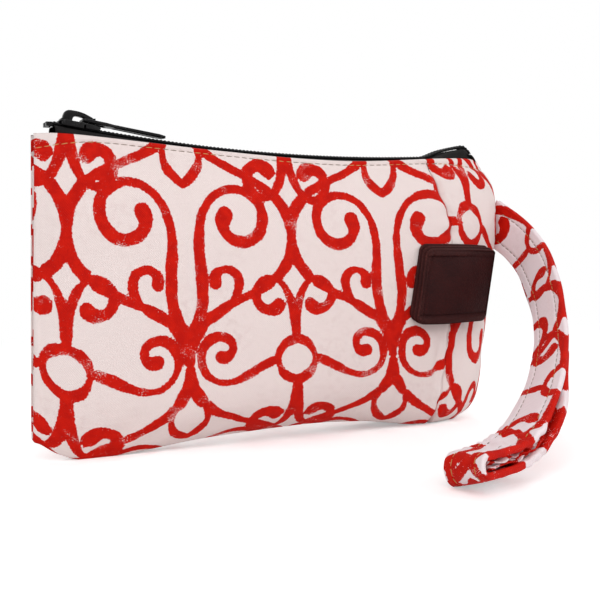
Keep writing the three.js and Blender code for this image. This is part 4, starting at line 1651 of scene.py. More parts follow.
@dataclass(frozen=True)
class LineWork:
    """Small rounded pieces set at even steps along a line, in millimetres and degrees.

    `pitch` is the step, `length`, `width` and `height` are one piece's sizes, `lean`
    turns it on the surface, `uneven` is how much the sizes vary and `seed` fixes that.
    """

    pitch: float
    length: float
    width: float
    height: float
    lean: float = 0.0
    uneven: float = 0.1
    seed: int = 7

    TREE = "Pieces along a line"
    NO_INK = 9.0

    def tree(self) -> bpy.types.NodeTree:
        """The Geometry Nodes tree, built once."""
        found = bpy.data.node_groups.get(self.TREE)
        if found:
            return found
        tree = bpy.data.node_groups.new(self.TREE, "GeometryNodeTree")
        numbers = dict.fromkeys(("Pitch", "Length", "Width", "Height", "Lean", "Uneven"), "Float")
        sockets = {"Line": "Geometry", **numbers, "Seed": "Int", "Finish": "Material"}
        for name, kind in sockets.items():
            tree.interface.new_socket(name=name, in_out="INPUT", socket_type=f"NodeSocket{kind}")
        tree.interface.new_socket(name="Pieces", in_out="OUTPUT", socket_type="NodeSocketGeometry")
        w = Weaver(tree)
        given = w.node("NodeGroupInput").outputs

        def flow(kind: str, fed: Sequence | dict, **settings: object) -> Socket:
            """Adds a node and gives its first output."""
            return w.node(kind, fed, **settings).outputs[0]

        line = flow("GeometryNodeMeshToCurve", {"Mesh": given["Line"]})
        steps = flow("GeometryNodeResampleCurve", {"Curve": line, "Length": given["Pitch"]}, mode="LENGTH")
        ball = flow("GeometryNodeMeshUVSphere", {"Segments": 8, "Rings": 5, "Radius": 0.5})
        size = flow("ShaderNodeCombineXYZ", [given[name] for name in ("Length", "Width", "Height")])
        shaped = flow("GeometryNodeTransform", {"Geometry": ball, "Scale": size})
        facing = flow("GeometryNodeInputNamedAttribute", {"Name": "facing"}, data_type="FLOAT_VECTOR")
        tangent = flow("GeometryNodeInputTangent", ())
        ahead = flow("FunctionNodeAlignRotationToVector", {"Vector": tangent}, axis="X")
        upright = flow("FunctionNodeAlignRotationToVector", {"Rotation": ahead, "Vector": facing}, axis="Z",
                       pivot_axis="X")
        jitter = w.node("FunctionNodeRandomValue", {"Seed": given["Seed"]}, data_type="FLOAT")
        spread = w.math("MULTIPLY", given["Uneven"], 0.6)
        low, high = [s for s in jitter.inputs if s.type == "VALUE" and s.name in ("Min", "Max")]
        w.feed(low, w.math("MULTIPLY", spread, -1.0))
        w.feed(high, spread)
        random = [s for s in jitter.outputs if s.type == "VALUE"][0]
        turn = flow("ShaderNodeCombineXYZ", {2: w.math("ADD", given["Lean"], random)})
        lean = flow("FunctionNodeEulerToRotation", [turn])
        leaned = flow("FunctionNodeRotateRotation", {"Rotation": upright, "Rotate By": lean},
                      rotation_space="LOCAL")
        scale = w.math("ADD", 1.0, random)
        spots = flow("GeometryNodeInstanceOnPoints",
                     {"Points": steps, "Instance": shaped, "Rotation": leaned, "Scale": scale})
        real = flow("GeometryNodeRealizeInstances", [spots])
        soft = flow("GeometryNodeSetShadeSmooth", {"Geometry": real})
        dressed = flow("GeometryNodeSetMaterial", {"Geometry": soft, "Material": given["Finish"]})
        w.node("NodeGroupOutput", [dressed])
        return tree

    def bake(self, name: str, lines: Sequence[tuple[np.ndarray, np.ndarray, np.ndarray | None]],
             material: bpy.types.Material) -> bpy.types.Mesh:
        """Sets the pieces along some lines and keeps them as a plain mesh.

        Args:
            name: The mesh's name.
            lines: For each line its points in pouch millimetres, the way its pieces
                face at each, and the print's ink distance at each, or none.
            material: The pieces' finish.

        Returns:
            The mesh, in the row frame.
        """
        points = np.concatenate([to_row(line[0]) for line in lines])
        facing = np.concatenate([unit(line[1]) for line in lines])
        ink = np.concatenate([np.full(len(p), self.NO_INK) if d is None else d for p, _, d in lines])
        edges, first = [], 0
        for line in lines:
            edges += [(first + i, first + i + 1) for i in range(len(line[0]) - 1)]
            first += len(line[0])
        guide = bpy.data.meshes.new(f"{name} guide")
        guide.from_pydata(points.tolist(), edges, [])
        guide.attributes.new("facing", "FLOAT_VECTOR", "POINT").data.foreach_set(
            "vector", facing.astype(np.float32).ravel())
        guide.attributes.new("ink", "FLOAT", "POINT").data.foreach_set("value", ink.astype(np.float32))
        holder = linked(f"{name} guide", guide)
        modifier = holder.modifiers.new("Pieces", "NODES")
        modifier.node_group = self.tree()
        wanted = {"Pitch": self.pitch * MM, "Length": self.length * MM, "Width": self.width * MM,
                  "Height": self.height * MM, "Lean": math.radians(self.lean),
                  "Uneven": self.uneven, "Seed": self.seed, "Finish": material}
        for item in modifier.node_group.interface.items_tree:
            if item.item_type == "SOCKET" and item.in_out == "INPUT" and item.name in wanted:
                modifier[item.identifier] = wanted[item.name]
        graph = bpy.context.evaluated_depsgraph_get()
        baked = bpy.data.meshes.new_from_object(holder.evaluated_get(graph))
        bpy.data.objects.remove(holder)
        bpy.data.meshes.remove(guide)
        baked.name = name
        return baked


@dataclass
class Topstitching:
    """The row of stitches under the hem, from the left edge round the full end."""

    shell: PouchShell
    work: LineWork = LineWork(pitch=3.0, length=2.5, width=0.36, height=0.34, uneven=0.12, seed=11)

    def hem_line(self, side: Side) -> tuple[np.ndarray, np.ndarray, np.ndarray]:
        """Points, facing and ink of one side's row of stitches.

        Args:
            side: Front or back.

        Returns:
            Points, the way the stitches face and the print's ink distance at each.
        """
        form, sign = self.shell.form, side.sign
        tip = form.fullest_at + 0.995 * form.end_quarter
        along = np.concatenate([np.linspace(-form.half_length + 1.5, 58.0, 150),
                                np.linspace(58.6, tip, 60)])
        x = form.wall(sign, along, np.full(len(along), float(form.hem_level)))[:, 0]
        share = 1.0 - self.shell.hem.stitch_drop(x) / (form.hem(x) - form.base_z(x))
        level = form.level_of(share)
        points = self.shell.surface(sign, along, level, 0.0, True)
        facing = form.outward(sign, along, level)
        flat = self.shell.panel_place(side, along, level)
        return points + 0.08 * facing, facing, self.shell.design.ink(flat)

    def build(self) -> None:
        """Sews both sides."""
        for side in Side:
            name = f"topstitch_{side.word}"
            mesh = self.work.bake(name, [self.hem_line(side)], self.shell.wardrobe.thread)
            finished(place(name, mesh, self.shell.wardrobe.thread), "pouch", Slot.PRINTED)


# Zip

@dataclass
class ZipChain:
    """Tapes and coils of the zip along the pouch's mouth."""

    form: PouchForm
    wardrobe: Wardrobe
    left: float = -91.5
    right: float = 85.0
    inner: float = 0.65
    coil_half: float = 3.1
    coil_under: float = 0.35
    rib_at: float = 3.75
    tooth_at: float = 1.72
    tape: float = 0.5
    shelf: float = 5.6
    tuck: float = 7.5
    teeth: LineWork = LineWork(pitch=1.5, length=1.5, width=2.75, height=1.5, lean=9.0, uneven=0.02)
    ribs: LineWork = LineWork(pitch=0.75, length=0.62, width=0.7, height=0.36, lean=24.0, uneven=0.05)

    @staticmethod
    def _rounded(points: np.ndarray) -> np.ndarray:
        """Cuts the corners of open polylines twice.

        Args:
            points: Rows of (station, point, 2).

        Returns:
            The same with more points in each row.
        """
        for _ in range(2):
            a, b = points[:, :-1], points[:, 1:]
            cut = np.stack([0.75 * a + 0.25 * b, 0.25 * a + 0.75 * b], axis=2)
            cut = cut.reshape(len(points), -1, 2)
            points = np.concatenate([points[:, :1], cut, points[:, -1:]], axis=1)
        return points

    def tape_mesh(self, side: Side) -> bpy.types.Mesh:
        """One tape: flat beside the coil, then down behind the hem.

        Args:
            side: Front or back; the front's also holds the folded ends.

        Returns:
            The mesh.
        """
        form = self.form
        x = np.linspace(self.left, self.right, 178)
        lip, tuck = form.hem(x) - 1.0, form.hem(x) - self.tuck
        outer = np.maximum(form.inside_half(x, lip) - 0.1, self.inner + 1.8)
        low = np.maximum(form.inside_half(x, tuck) - 0.1, self.inner + 1.6)
        shelf = np.minimum(self.shelf, outer)
        top = form.chain_z(x) - self.coil_under - 0.3
        under = top - self.tape
        ripple = 0.18 * np.sin(x / 3.1 + 1.3 * np.sin(x / 7.7))
        line = np.stack([np.stack(p, axis=-1) for p in (
            (np.full(len(x), self.inner), top), (shelf, top),
            (outer, np.minimum(lip, under - 0.2) + ripple), (low, tuck))], axis=1)
        line = self._rounded(line)
        normal = np.gradient(line, axis=1)
        normal = unit(np.stack([-normal[..., 1], normal[..., 0]], axis=-1))
        inward = line - np.where(normal[..., 1:] >= 0.0, 1.0, -1.0) * normal * self.tape
        ring = np.concatenate([line, inward[:, ::-1]], axis=1)
        stations = np.broadcast_to(x[:, None], ring.shape[:2])
        points = np.stack([stations, side.sign * ring[..., 0], ring[..., 1]], axis=-1)
        run = np.stack([run_along(once) for once in ring])
        work = Patchwork()
        work.add(points, loft_faces(*ring.shape[:2]), np.stack([stations, run], axis=-1))
        if side is Side.FRONT:
            self._end_fold(work)
        return work.mesh(f"zip_tape_{side.word}")

    def _end_fold(self, work: Patchwork) -> None:
        """The tapes' ends, folded down behind the hem at the full end.

        Args:
            work: Where they are added.
        """
        top = float(self.form.chain_z(np.array(self.right))) - 0.65
        hem = float(self.form.hem(np.array(self.right + 2.0)))
        path = np.array([(self.right - 2.0, top + 0.2), (self.right, top), (self.right + 1.5, top - 1.6),
                         (self.right + 2.2, hem - 0.6), (self.right + 1.6, hem - 4.0)])
        path = self._rounded(path[None])[0]
        y = np.linspace(-1.0, 1.0, 15)
        half = np.interp(np.arange(len(path)), [0, len(path) - 1], [5.2, 4.2])
        fall = 0.5 * np.abs(y)[None, :] ** 3 * np.linspace(0.4, 1.0, len(path))[:, None]
        grids = [np.stack([path[:, :1] - depth - fall, half[:, None] * y[None, :],
                           path[:, 1:] - 0.6 * depth - fall], axis=-1) for depth in (0.0, self.tape)]
        points = np.concatenate([g.reshape(-1, 3) for g in grids])
        work.add(points, shell_faces(len(y), len(path)), points[:, 1:])

    def core(self, side: Side) -> bpy.types.Mesh:
        """The cord that the coil is wound on, under its teeth.

        Args:
            side: Front or back.

        Returns:
            The mesh.
        """
        x, turn = np.meshgrid(np.linspace(self.left, self.right, 150),
                              np.linspace(0.0, 2 * math.pi, 10, endpoint=False), indexing="ij")
        y = self.inner + 0.25 + (self.coil_half - self.inner - 0.3) * (0.5 + 0.5 * np.cos(turn))
        points = np.stack([x, side.sign * y, self.form.chain_z(x) + (0.3 + 0.58 * np.sin(turn))], axis=-1)
        return one_part(f"coil_core_{side.word}", points, loft_faces(*x.shape))

    def _row(self, side: Side, y: float, up: float, shift: float) -> tuple[np.ndarray, np.ndarray, None]:
        """A line along the chain, for teeth or stitches.

        Args:
            side: Front or back.
            y: Place across the chain, from its middle.
            up: Height over its middle.
            shift: How far it starts from the left end.

        Returns:
            Its points, the way up at each, and no ink.
        """
        x = np.linspace(self.left + 0.6 + shift, self.right - 0.6, 240)
        z = self.form.chain_z(x) + up
        facing = np.stack([-np.gradient(z, x), 0.0 * x, np.ones(len(x))], axis=-1)
        return np.stack([x, np.full(len(x), side.sign * y), z], axis=-1), facing, None

    def build(self) -> None:
        """Makes tapes and coils."""
        dress = self.wardrobe
        for side in Side:
            end = side.word
            finished(place(f"tape_{end}", self.tape_mesh(side), dress.tape), "pouch", Slot.TAPE,
                     f"zip_tape_{end}")
            shift = 0.0 if side is Side.FRONT else self.teeth.pitch / 2
            teeth = replace(self.teeth, lean=side.sign * self.teeth.lean)
            rows = teeth.bake(f"coil_{end}", [self._row(side, self.tooth_at, 0.4, shift)], dress.coil)
            finished(place(f"coil_{end}", rows, dress.coil), "pouch", Slot.COIL, f"zip_coil_{end}")
            finished(place(f"coil_core_{end}", self.core(side), dress.coil), "pouch", Slot.COIL)
            sewn = self.ribs.bake(f"coil_seam_{end}", [self._row(side, self.rib_at, -0.62, 0.0)], dress.tape)
            finished(place(f"coil_seam_{end}", sewn, dress.tape), "pouch", Slot.TAPE)


# Slider and pull

def rounded_corners(corners: Sequence[tuple[float, float, float]], steps: int = 5) -> Outline:
    """A closed outline whose corners are arcs.

    Args:
        corners: x, y and corner radius, going round.
        steps: Points on each arc.

    Returns:
        The outline's points.
    """
    points: Outline = []
    for k, (x, y, radius) in enumerate(corners):
        if radius <= 0.0:
            points.append((x, y))
            continue
        here = np.array([x, y])
        a, b = (here + unit(np.array(corners[n % len(corners)][:2]) - here) * radius for n in (k - 1, k + 1))
        for t in np.linspace(0.0, 1.0, steps):
            points.append(tuple(((1 - t) ** 2 * a + 2 * (1 - t) * t * here + t ** 2 * b).tolist()))
    return points


def mirrored(corners: Sequence[tuple[float, float, float]]) -> Outline:
    """An outline even about the middle line, by the corners of its left half, from the rear on."""
    return rounded_corners([(x, -y, radius) for x, y, radius in corners] + list(corners)[::-1])


def oblong(left: float, right: float, half: float, radius: float) -> Outline:
    """A rounded rectangle that is even about the middle line."""
    return mirrored([(left, half, radius), (right, half, radius)])


def cast_slab(outline: Outline, low: float, high: float, edge: float) -> tuple[np.ndarray, Faces]:
    """A flat casting with rounded edges.

    Args:
        outline: Its outline, seen from above.
        low: Height of its underside.
        high: Height of its top.
        edge: Radius of its edges.

    Returns:
        Points and faces.
    """
    flat = np.array(outline)
    ahead = unit(np.roll(flat, -1, axis=0) - flat)
    behind = unit(flat - np.roll(flat, 1, axis=0))
    area = np.sum(flat[:, 0] * np.roll(flat[:, 1], -1) - np.roll(flat[:, 0], -1) * flat[:, 1])
    normal = unit(np.stack([ahead[:, 1] + behind[:, 1], -(ahead[:, 0] + behind[:, 0])], axis=1))
    normal *= 1.0 if area > 0 else -1.0
    rings = []
    for turn in np.radians(np.linspace(0.0, 90.0, 4)):
        inset, fall = edge * (1 - math.cos(turn)), edge * (1 - math.sin(turn))
        rings = [(inset, low + fall)] + rings + [(inset, high - fall)]
    points = [np.column_stack([flat - normal * inset, np.full(len(flat), z)]) for inset, z in rings]
    return np.concatenate(points), loft_faces(len(rings), len(flat))


@dataclass
class ZipSlider:
    """Cast slider with its bridge, and the pull that hangs on it, in millimetres."""

    form: PouchForm
    wardrobe: Wardrobe
    length: float = 15.2
    half_width: float = 5.0
    flange_inner: float = 3.42
    plate_low: float = 1.3
    plate_top: float = 2.05
    under_top: float = -1.45
    under_low: float = -2.25
    bridge_height: float = 4.4
    bridge_half: float = 1.3
    pull_x: float = 1.1
    pull_z: float = 3.5
    pull_tilt: float = 0.9
    pull_length: float = 31.0
    eye_length: float = 7.9
    pull_half: float = 3.2
    tip_half: float = 2.6
    pull_thick: float = 1.2
    tip_round: float = 2.4

    def _seat(self, points: np.ndarray) -> np.ndarray:
        """Points of the slider's frame in pouch millimetres."""
        c, s = math.cos(self.form.arc_tilt), math.sin(self.form.arc_tilt)
        x, y, z = points[:, 0], points[:, 1], points[:, 2] - self.form.arc_radius
        return np.stack([self.form.chain_low_x + x * c + z * s, y, self.form.arc_z - x * s + z * c], axis=1)

    def _hang(self, points: np.ndarray) -> np.ndarray:
        """Seats points of the pull's frame, its tip worn round.

        Args:
            points: Points in the pull's frame.

        Returns:
            The same in pouch millimetres.
        """
        c, s = math.cos(math.radians(self.pull_tilt)), math.sin(math.radians(self.pull_tilt))
        x, y, z = points[:, 0], points[:, 1], points[:, 2]
        near_tip = np.clip((x - self.pull_length + self.tip_round) / self.tip_round, 0.0, 1.0)
        z = z * np.sqrt(1.0 - 0.85 * near_tip ** 2)
        return self._seat(np.stack([self.pull_x + x * c + z * s, y, self.pull_z - x * s + z * c], axis=1))

    @staticmethod
    def _on_its_side(points: np.ndarray) -> np.ndarray:
        """Points of a casting that is drawn from the side."""
        return np.stack([points[:, 0], -points[:, 2], points[:, 1]], axis=1)

    def _plan(self, grow: float = 0.0) -> Outline:
        """The slider's outline from above: broad at its mouth, narrower behind."""
        half, rear, end = self.half_width + grow, self.half_width - 0.8 + grow, self.length / 2 + grow
        return mirrored([(-end, half, 2.4), (0.4, half, 1.0), (end - 2.4, rear, 1.2),
                         (end, rear - 1.6, 1.6)])

    def _bridge(self) -> list[tuple[float, float, float]]:
        """Corners of the bridge from the side, over the top plate."""
        foot, crown = self.plate_top - 0.25, self.plate_top + self.bridge_height
        return [(-6.3, foot, 0.0), (-5.9, crown - 0.1, 2.3), (0.2, crown, 2.2), (5.3, crown - 1.7, 1.5),
                (5.4, foot + 2.2, 0.6), (3.6, foot + 2.3, 0.4), (3.2, crown - 2.55, 0.9),
                (0.4, crown - 1.85, 1.2), (-2.6, crown - 1.8, 1.4), (-2.9, foot, 0.0)]

    def body_mesh(self) -> bpy.types.Mesh:
        """Plates, flanges, post and bridge."""
        work = Patchwork()
        deck, roof, floor = self.plate_top, self.plate_low, self.under_top

        def cast(outline: Outline, *slab: float) -> None:
            """Adds one flat casting: its underside, top and edge radius."""
            points, faces = cast_slab(outline, *slab)
            work.add(self._seat(points), faces)

        def stand(corners: Sequence[tuple[float, float, float]], half: float, edge: float) -> None:
            """Adds a casting that is drawn from the side."""
            points, faces = cast_slab(rounded_corners(corners), -half, half, edge)
            work.add(self._seat(self._on_its_side(points)), faces)

        cast(self._plan(), roof, deck, 0.32)
        cast(self._plan(-0.9), deck - 0.3, deck + 0.22, 0.2)
        cast(self._plan(), self.under_low, floor, 0.3)
        cast(oblong(-6.4, -3.0, 0.35, 0.2), floor - 0.3, roof + 0.3, 0.05)
        for y in (1.0, -1.0):
            near, far = y * self.flange_inner, y * self.half_width
            wide = [(-6.9, near, 0.3), (0.9, near, 0.3), (0.9, far, 0.5), (-6.9, far, 1.0)]
            rear = [(1.5, near, 0.3), (6.9, near, 0.3), (6.2, y * 4.1, 0.4), (1.5, y * 4.75, 0.4)]
            cast(rounded_corners(wide), 0.05, roof + 0.4, 0.25)
            cast(rounded_corners(rear), 0.25, roof + 0.4, 0.25)
        stand(self._bridge(), self.bridge_half, 0.38)
        foot = deck - 0.2
        cheek = [(-7.1, foot, 0.2), (-6.9, deck + 0.9, 0.5), (-3.0, deck + 0.9, 0.5), (-2.6, foot, 0.2)]
        ear = [(2.6, foot, 0.2), (2.9, deck + 1.15, 0.5), (5.4, deck + 1.15, 0.6), (6.0, foot, 0.2)]
        stand(cheek, self.bridge_half + 0.75, 0.3)
        stand(ear, self.bridge_half + 0.45, 0.3)
        return work.mesh("slider_body")

    def _hung(self, name: str, castings: Sequence[tuple[Outline, float, float]]) -> bpy.types.Mesh:
        """Flat castings of the pull, even about its middle plane.

        Args:
            name: The mesh's name.
            castings: For each its outline, half thickness and edge radius.

        Returns:
            The mesh.
        """
        work = Patchwork()
        for outline, half, edge in castings:
            points, faces = cast_slab(outline, -half, half, edge)
            work.add(self._hang(points), faces)
        return work.mesh(name)

    def pull_mesh(self) -> bpy.types.Mesh:
        """Eye, bar and rounded rims of the pull."""
        half, tip, thick = self.pull_half, self.tip_half, self.pull_thick / 2
        start, end, inner = self.eye_length, self.pull_length, 1.72
        rod = [(-thick, -half + 0.3, 0.4), (thick, -half + 0.3, 0.2), (thick, half - 0.3, 0.2),
               (-thick, half - 0.3, 0.4)]
        arm = [(-thick + 0.2, inner, 0.3), (start + 1.2, inner, 0.2), (start + 1.2, half, 0.8),
               (-thick + 0.2, half, 1.0)]
        bar = [(start, half, 0.6), (start + 1.6, half, 0.9), (start + 4.2, tip - 0.4, 1.6),
               (end - 6.0, tip - 0.2, 1.5), (end - 1.6, tip, 1.2), (end, 1.1, 1.0)]
        rim = [(start + 3.4, -tip + 0.55, 0.8), (end - 2.6, -tip + 0.2, 1.0), (end - 2.6, -tip + 0.95, 0.3),
               (start + 3.4, -tip + 1.2, 0.3)]

        def both(corners: Sequence[tuple[float, float, float]], edge: float) -> list:
            """A casting on either side of the middle line."""
            return [(rounded_corners([(x, sign * y, r) for x, y, r in corners]), thick, edge)
                    for sign in (1.0, -1.0)]

        return self._hung("pull_tab", [(rounded_corners(rod), thick, 0.55)] + both(arm, 0.42)
                          + [(mirrored(bar), 0.5, 0.3)] + both(rim, 0.26))

    def grip_mesh(self) -> bpy.types.Mesh:
        """The pad at the pull's tip and the ridges beside it, which are finished in a lighter grey: a
        painted highlight with wear from rubbing.
        """
        end, tip = self.pull_length, self.tip_half
        pad = [(end - 4.6, tip - 0.35, 1.0), (end - 1.2, tip - 0.25, 1.4), (end - 0.1, 1.0, 0.9)]
        spots = (end - 6.4 - 1.5 * k for k in range(5))
        ridges = [(oblong(x, x + 0.75, 1.45, 0.2), 0.62, 0.2) for x in spots]
        return self._hung("pull_grip", [(mirrored(pad), self.pull_thick / 2, 0.42)] + ridges)

    def build(self) -> None:
        """Makes the slider and its pull."""
        dress = self.wardrobe
        finished(place("slider_casting", self.body_mesh(), dress.metal), "slider", Slot.METAL, "slider_body")
        finished(place("pull_casting", self.pull_mesh(), dress.metal), "pull", Slot.METAL, "pull_tab")
        # The grip takes the lighter grey finish of the painted highlight.
        finished(place("pull_grip", self.grip_mesh(), dress.rubbed_and_highlight_metal), "pull", Slot.METAL)


# Leather plate

@dataclass
class LeatherPlate:
    """Padded leather plate laid round the full end, its edges turned and its bands raised."""

    form: PouchForm
    wardrobe: Wardrobe
    width: float = 32.6
    height: float = 30.4
    corners: tuple[tuple[float, float], ...] = ((42.3, 44.3), (75.0, 43.9), (79.9, 72.7), (50.0, 74.9))
    thick: float = 6.2
    leather: float = 1.6
    gap: float = 0.3
    rounds: tuple[float, ...] = (1.3, 2.8, 3.3, 3.2)
    band_top: float = 3.6
    band_bottom: float = 4.0
    around: int = 320
    corner_points: int = 9
    FLANK = ((0.9, -3.2), (0.15, -2.9), (0.0, -2.2), (0.2, -1.6), (0.75, -1.35), (0.5, -1.05), (0.35, -0.35),
             (0.55, 0.25), (1.15, 0.5), (0.95, 0.8), (0.95, 1.35), (1.35, 1.95))
    # Insets of the flank's layers whose edges are lightened: painted highlight with wear from rubbing.
    RUB_AND_HIGHLIGHT_INSETS = (0.0, 0.35, 0.95)

    def _spot(self, across: np.ndarray, up: np.ndarray, depth: np.ndarray) -> np.ndarray:
        """Points over the pouch's wall.

        Args:
            across: Place across the plate, from its middle.
            up: Place up the plate, from its middle.
            depth: Height over the cloth.

        Returns:
            Points in millimetres.
        """
        u, v = across / self.width + 0.5, up / self.height + 0.5
        foot_l, foot_r, head_r, head_l = (np.array(corner) for corner in self.corners)
        low = foot_l + (foot_r - foot_l) * u[:, None]
        high = head_l + (head_r - head_l) * u[:, None]
        along, z = (low + (high - low) * v[:, None]).T
        share = z / (self.form.hem(np.array(50.0)) - self.form.base_z(np.array(50.0)))
        return self.form.wall(-1.0, along, self.form.level_of(share), -depth)

    def _ring(self, inset: float) -> tuple[np.ndarray, np.ndarray]:
        """Points round the plate's outline.

        Args:
            inset: How far they are moved in.

        Returns:
            Their places across and up the plate.
        """
        half_w, half_h = self.width / 2 - inset, self.height / 2 - inset
        radii = [min(max(r - 0.5 * inset, 0.4), half_w, half_h) for r in self.rounds]
        arcs = []
        for k, (cx, cy) in enumerate(((1, 1), (-1, 1), (-1, -1), (1, -1))):
            turn = np.radians(90.0 * k + np.linspace(0.0, 90.0, self.corner_points))
            arcs.append(np.stack([cx * (half_w - radii[k]) + radii[k] * np.cos(turn),
                                  cy * (half_h - radii[k]) + radii[k] * np.sin(turn)], axis=1))
        shares = np.linspace(0.0, 1.0, self.around // 4 - self.corner_points + 2)[1:-1, None]
        ring = np.concatenate([part for k, arc in enumerate(arcs) for part in (
            arc, arc[-1] + (arcs[(k + 1) % 4][0] - arc[-1]) * shares)])
        return ring[:, 0], ring[:, 1]

    def _level_ring(self, inset: float, height: float) -> np.ndarray:
        """Points round the outline at one height over the cloth."""
        across, up = self._ring(inset)
        return self._spot(across, up, np.full(len(across), height))

    def _face(self, across: np.ndarray, up: np.ndarray) -> tuple[np.ndarray, np.ndarray]:
        """Height of the plate's face over the cloth, and how much it is lightened.

        Args:
            across: Place across the plate, from its middle.
            up: Place up the plate, from its middle.

        Returns:
            The height in millimetres and a share of lightening: painted highlight with wear from rubbing.
        """
        from_top = self.height / 2 - up
        from_bottom = self.height / 2 + up
        from_left = self.width / 2 + across
        from_right = self.width / 2 - across
        fade = 0.25 + 0.75 * smooth((from_right - 4.0) / 22.0)
        top_band = 0.55 * fade * (1.0 - smooth((from_top - self.band_top + 0.6) / 0.9))
        bottom_band = 0.6 * (1.0 - smooth((from_bottom - self.band_bottom + 0.6) / 0.9))
        top_groove = -0.42 * fade * gauss(from_top - self.band_top, 0.35, 0.4)
        bottom_groove = -0.5 * gauss(from_bottom - self.band_bottom, 0.35, 0.4)
        left_ridge = 0.3 * gauss(from_left, 2.3, 0.55) - 0.45 * gauss(from_left, 3.2, 0.4)
        pillow = -0.5 + 0.45 * np.cos(across / self.width * math.pi) * np.cos(up / self.height * math.pi)
        slack = 0.12 * np.sin(across / 5.3 + 0.8) * np.sin(up / 4.1 + 0.3)
        height = self.thick - 0.35 + pillow + slack + top_band + bottom_band + top_groove + bottom_groove
        height = height + left_ridge * smooth((from_top - 1.0) / 2.0) * smooth((from_bottom - 1.0) / 2.0)
        # Raised bands, right rim and left ridge are lightened: painted highlight with wear from rubbing.
        worn = np.clip(top_band + bottom_band, 0.0, 1.0) * 0.7 + gauss(from_right, 0.0, 1.6)
        worn = worn + 0.6 * gauss(from_left, 1.3, 0.8)
        return height, np.clip(worn, 0.0, 1.0)

    def cover(self) -> bpy.types.Mesh:
        """The turned leather face, with the folded layers seen along its flanks."""
        low = self.thick - self.leather - 0.9
        grid, rub_and_highlight_mask = [], []
        for inset, over in self.FLANK:
            grid.append(self._level_ring(inset, max(low + over, 0.35)))
            # The flank's layers get their share of lightening: painted highlight with wear from rubbing.
            rub_and_highlight_mask.append(np.full(self.around, 0.95 if inset in self.RUB_AND_HIGHLIGHT_INSETS else 0.1))
        for k, inset in enumerate(np.concatenate([np.linspace(1.7, 6.4, 18), np.linspace(7.0, 14.2, 10)])):
            across, up = self._ring(float(inset))
            height, worn = self._face(across, up)
            edge = min(k / 3.0, 1.0)
            height = height - 0.45 * (1.0 - math.sqrt(1.0 - (1.0 - edge) ** 2))
            grid.append(self._spot(across, up, height))
            rub_and_highlight_mask.append(worn)
        points = np.concatenate(grid)
        # The attribute raised carries the lightening: painted highlight with wear from rubbing.
        return one_part("plate_cover", points, loft_faces(len(grid), len(grid[0])), points[:, ::2],
                        raised=np.concatenate(rub_and_highlight_mask))

    def slab(self, name: str, margin: float, high: float, low: float, swell: float) -> bpy.types.Mesh:
        """A flat layer of the plate with soft edges.

        Args:
            name: The mesh's name.
            margin: How far it stays inside the plate's outline.
            high: Height of its outer face over the cloth.
            low: Height of its inner face.
            swell: Radius of its edges.

        Returns:
            The mesh.
        """
        middle, half = (high + low) / 2, (high - low) / 2
        edge = [self._level_ring(margin + swell * (1.0 - math.cos(turn)), middle + half * math.sin(turn))
                for turn in np.linspace(-QUARTER, QUARTER, 9)]
        insets = np.linspace(margin + swell + 1.0, 13.0, 6)
        rings = ([self._level_ring(inset, low) for inset in insets[::-1]] + edge
                 + [self._level_ring(inset, high) for inset in insets])
        points = np.concatenate(rings)
        return one_part(name, points, loft_faces(len(rings), len(rings[0])), points[:, ::2])

    def build(self) -> None:
        dress = self.wardrobe
        backing_top = self.gap + self.leather
        pad_top = self.thick - self.leather - self.gap
        layer = self.slab("plate_backing", 0.1, backing_top, self.gap, 0.4)
        backing = place("plate_backing_leather", layer, dress.leather)
        finished(backing, "pouch", Slot.LEATHER, "plate_backing")
        stuffing = self.slab("plate_pad", 1.4, pad_top - 0.6, backing_top + 0.2, 0.5)
        finished(place("plate_stuffing", stuffing, dress.pad), "pouch", Slot.PAD, "plate_pad")
        cover = place("plate_face", self.cover(), dress.leather)
        finished(cover, "pouch", Slot.LEATHER, "plate_cover")


# Wrist strap

